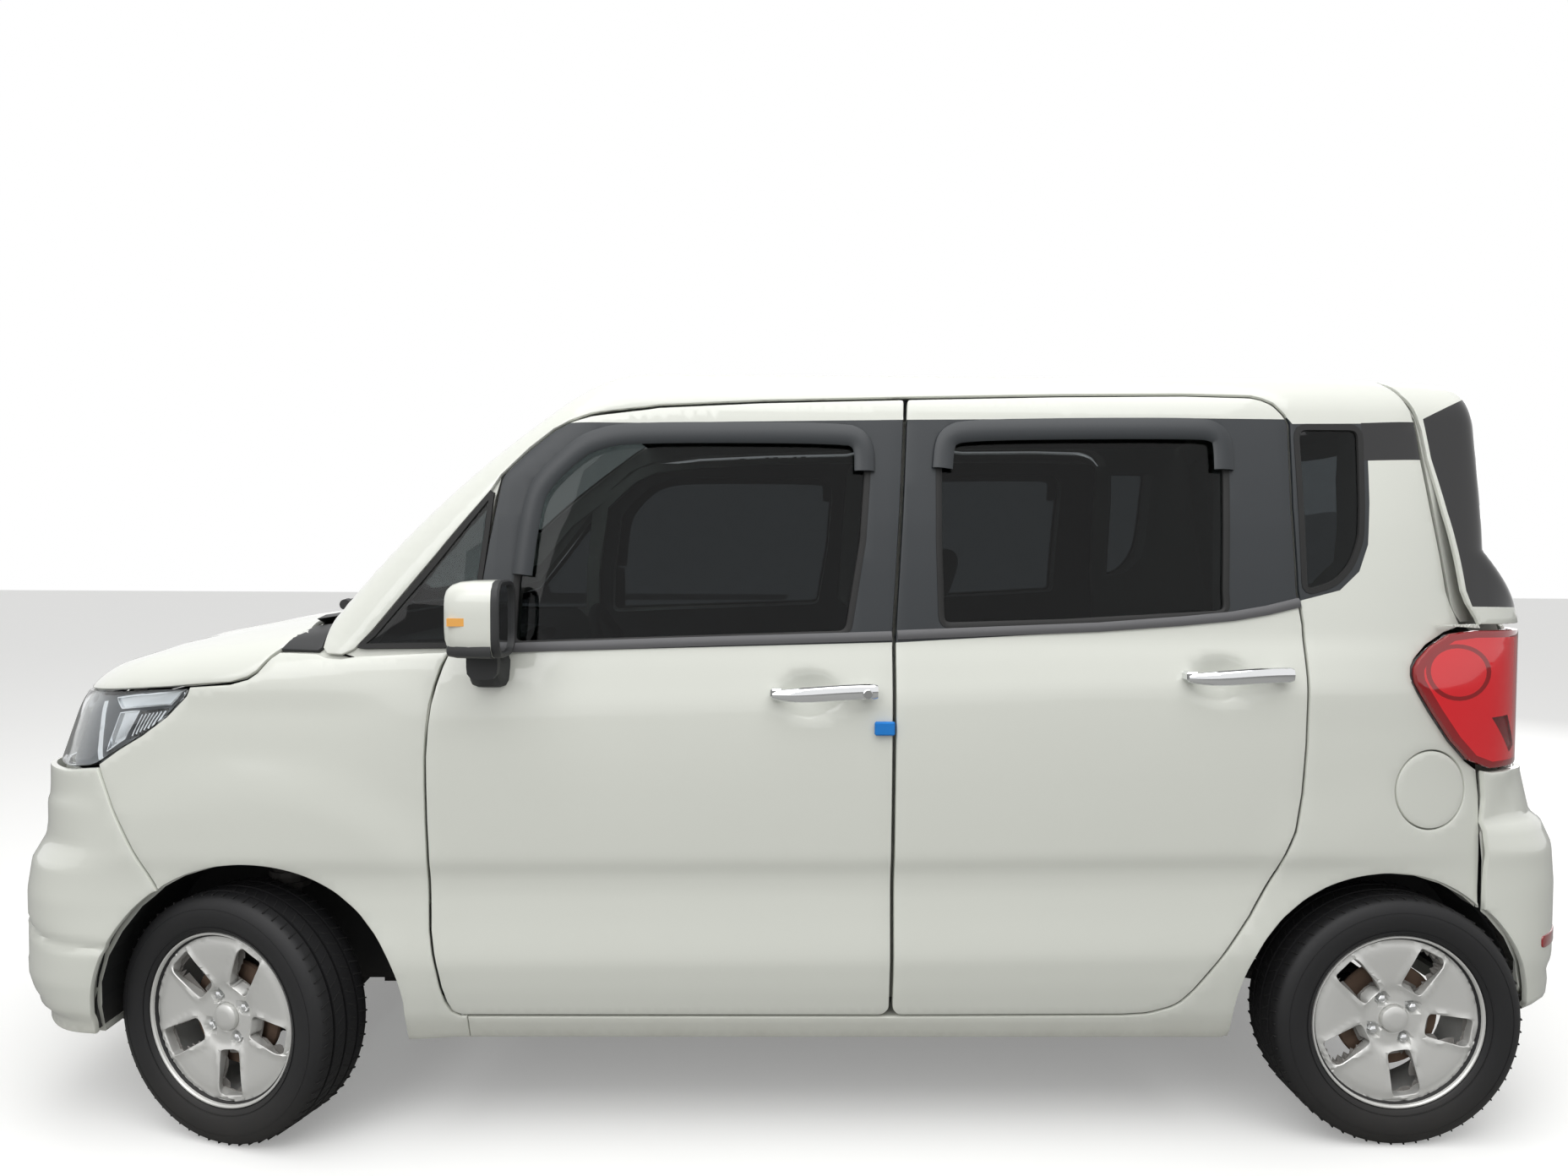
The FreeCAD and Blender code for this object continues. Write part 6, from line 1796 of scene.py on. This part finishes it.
def dashboard():
    """The dashboard with dials, centre panel, vents, glove box and the column's shroud."""
    profile = [(-.930, .782), (-.930, 1.072), (-.920, 1.080), (-.82, 1.090), (-.712, 1.093),
               (-.690, 1.084), (-.632, 1.030), (-.622, 1.012), (-.606, .960), (-.602, .905),
               (-.610, .845), (-.632, .730), (-.646, .704), (-.70, .672), (-.752, .646), (-.79, .662)]
    rings = []
    for y in (-.683, -.678, -.62, -.40, -.14, .14, .40, .62, .678, .683):
        k = .012 if abs(y) > .68 else 0
        mid = np.mean(profile, axis=0)
        rings.append([(x + (mid[0] - x) * k * 2, y, z + (mid[1] - z) * k * 2) for x, z in profile])
    sheet = loft(rings)
    hood = []
    for y in np.linspace(-.515, -.195, 17):
        t = (y + .355) / .16
        rise = .012 * max(0, 1 - t * t) ** .5
        hood.append([(-.75, y, 1.080), (-.66, y, 1.086 + rise), (-.612, y, 1.086 + rise),
                     (-.604, y, 1.078 + rise), (-.614, y, 1.068 + rise), (-.66, y, 1.05)])
    sheet.join(loft(hood))
    screen = block((-.619, -.495, 1.00), (-.612, -.215, 1.066), .003)
    sheet.join(screen, 1)
    for y in (-.42, -.29):
        dial = revolve([(-.004, 0), (-.004, .026), (-.001, .030), (.004, .031), (.004, .034),
                        (-.006, .034), (-.006, 0)], 36)
        turn = Matrix.Translation((-.614, y, 1.034)) @ Matrix.Rotation(math.pi / 2, 4, "Z")
        sheet.join(placed(dial, turn), 2)
    sheet.join(block((-.622, -.125, .735), (-.590, .125, 1.02), .012), 3)
    sheet.join(block((-.594, -.095, .895), (-.5865, .095, .985), .004), 1)
    for y in (-.066, 0, .066):
        knob = revolve([(-.014, 0), (-.014, .018), (-.010, .021), (.010, .023), (.010, 0)], 32)
        turn = Matrix.Translation((-.590, y, .790)) @ Matrix.Rotation(-math.pi / 2, 4, "Z")
        sheet.join(placed(knob, turn), 2)
    for y in (-.085, .085, -.595, .595):
        if abs(y) > .5:
            spot, width = (-.609, y, .965), .058
        else:
            spot, width = (-.592, y * .75, .852), .05
        for k in range(5):
            z = spot[2] - .022 + .011 * k
            sheet.join(block((spot[0] - .004, spot[1] - width, z),
                             (spot[0] + .006, spot[1] + width, z + .004), .001), 1)
    lid = block((-.640, .20, .735), (-.612, .60, .86), .010)
    sheet.join(lid, 0).join(block((-.613, .36, .838), (-.606, .44, .848), .002), 2)
    axis = column_axis()
    shroud = []
    for d, k in ((-.23, 1.15), (-.15, 1.1), (-.05, .95), (-.043, .6)):
        shroud.append([(axis @ Vector((d, y, z - .012)))[:]
                       for y, z in squircle((0, 0), .036 * k, .046 * k, 24, 3)])
    sheet.join(loft(shroud))
    for s in (-1, 1):
        rod = [(x, WHEEL_HAND[1] + s * out, z) for x, out, z in
               ((-.455, .03, .952), (-.452, .10, .962), (-.450, .145, .968))]
        sheet.join(tube(np.array(rod), .0055, 10), 1)
    add("dashboard_skin", sheet, [DASH_TOP, GLOSS_BLACK, LAMP_GREY, LIGHT_TRIM], "chassis", "dashboard")


def steering_wheel():
    """Rim, hub, three arms and the stub of the column."""
    t = np.linspace(0, 2 * math.pi, 73)
    ring = np.array([(.004 * math.cos(4 * a), .176 * math.cos(a), .176 * math.sin(a)) for a in t])
    sheet = tube(ring, .0135, 14)
    hub = ((-.040, .55), (-.032, .8), (-.010, 1.0), (.004, .97), (.010, .8), (.011, .3))
    sheet.join(across(hub, (0, -.006), .062, .052, 32, 3), 1)
    for a, wide in ((0, .020), (180, .020), (-90, .026)):
        c, s = math.cos(math.radians(a)), math.sin(math.radians(a))
        arm = []
        for r, w in ((.045, wide), (.10, wide * .72), (.168, wide * .85)):
            arm.append([(x, r * c - v * s, r * s + v * c - .006 * (1 - r / .17))
                        for x, v in ((-.014, -w), (.000, -w), (.004, 0), (.000, w), (-.014, w))])
        sheet.join(loft(arm), 2)
    stub = revolve([(-.232, 0), (-.232, .016), (-.04, .018), (-.04, 0)], 20)
    sheet.join(placed(stub, Matrix.Rotation(-math.pi / 2, 4, "Z")), 3)
    add("steering_wheel_skin", placed(sheet, column_axis()), [DASH_TOP, DASH_TOP, LAMP_GREY, STEEL],
        "steering_wheel", "steering_wheel")


def cabin_trim():
    """Armrests and inner handles of the doors, and the gear lever on its console."""
    for end, lo, hi, z in (("front", -.42, .10, .70), ("rear", .36, .84, .74)):
        pad = []
        for x, k in zip(np.linspace(lo, hi, 9), (.5, .9, 1, 1, 1, 1, 1, .9, .5)):
            wall = -abs(side_width(np.array([x]), np.array([z]))[0]) + .066
            pad.append([(x, y, v) for y, v in squircle((wall + .018, z), .034 * k, .026 * k, 20, 3)])
        rest = loft(pad)
        x = lo + .10
        wall = -abs(side_width(np.array([x]), np.array([.86]))[0]) + .066
        rest.join(block((x - .05, wall - .008, .855), (x + .05, wall + .008, .895), .006), 1)
        rest.join(tube(np.array([(x - .035, wall + .012, .875), (x + .035, wall + .016, .875)]), .006, 10), 2)
        both_sides("door_%s_armrest" % end, rest, [LIGHT_TRIM, DASH_TOP, CHROME], "door_%s_*" % end)
    lever = tube(np.array([(-.36, 0, .42), (-.37, 0, .55), (-.375, 0, .62)]), .008, 12)
    grip = revolve([(-.02, 0), (-.018, .016), (0, .022), (.018, .016), (.02, 0)], 20)
    lever.join(placed(grip, Matrix.Translation((-.376, 0, .635))))
    tunnel = block((-.46, -.085, .30), (-.05, .085, .42), .02)
    lever.join(tunnel, 1)
    add("gear_console", lever, [DASH_TOP, TRIM], "chassis")


def small_pieces():
    """The foam guard on the driver's door edge, and the wipers."""
    y = -abs(side_width(np.array([.209]), np.array([.915]))[0])
    foam = block((.188, y - .013, .900), (.2305, y - .0005, .929), .003)
    foam.join(block((.2245, y - .004, .902), (.2315, y + .010, .927), .001))
    add("door_edge_guard", foam, [FOAM], "door_front_left")
    arms = Sheet()
    for y0, y1 in ((-.52, .02), (.10, .56)):
        root = surface(f_cabin, np.array([(-.2, y0, 1.150)]), np.array([[-1., 0, 0]]))[0]
        run = [(-.2, y0 + (y1 - y0) * t, 1.152 + .020 * t) for t in np.linspace(0, 1, 14)]
        blade = surface(f_cabin, np.array(run), np.repeat([[-1., 0, 0]], 14, 0))
        out = outward(f_cabin, blade)
        arms.join(tube(blade + out * .006, .0045, 8))
        arms.join(tube(blade[:9] + out[:9] * .014, .0055, 8))
        hub = revolve([(-.012, 0), (-.012, .012), (.012, .014), (.012, 0)], 24)
        arms.join(placed(hub, Matrix.Translation(root + out[0] * .012)))
    add("wipers", arms, [TRIM], "chassis")


doors()
body_sides()
fenders()
lids()
tailgate()
bumpers()
grille()
lamps()
mirrors()
wheels()
seats()
dashboard()
steering_wheel()
cabin_trim()
small_pieces()
for names, material in (
    (("floor_pan", "front_subframe", "rear_axle_beam", "fuel_tank"), UNDERBODY),
    (("cowl", "wheel_liners_left", "wheel_liners_right"), TRIM),
    (("knuckle_left", "knuckle_right", "engine_block"), CAST), (("exhaust",), STEEL),
):
    for name in names:
        nodes[name].data.materials.clear()
        nodes[name].data.materials.append(material)
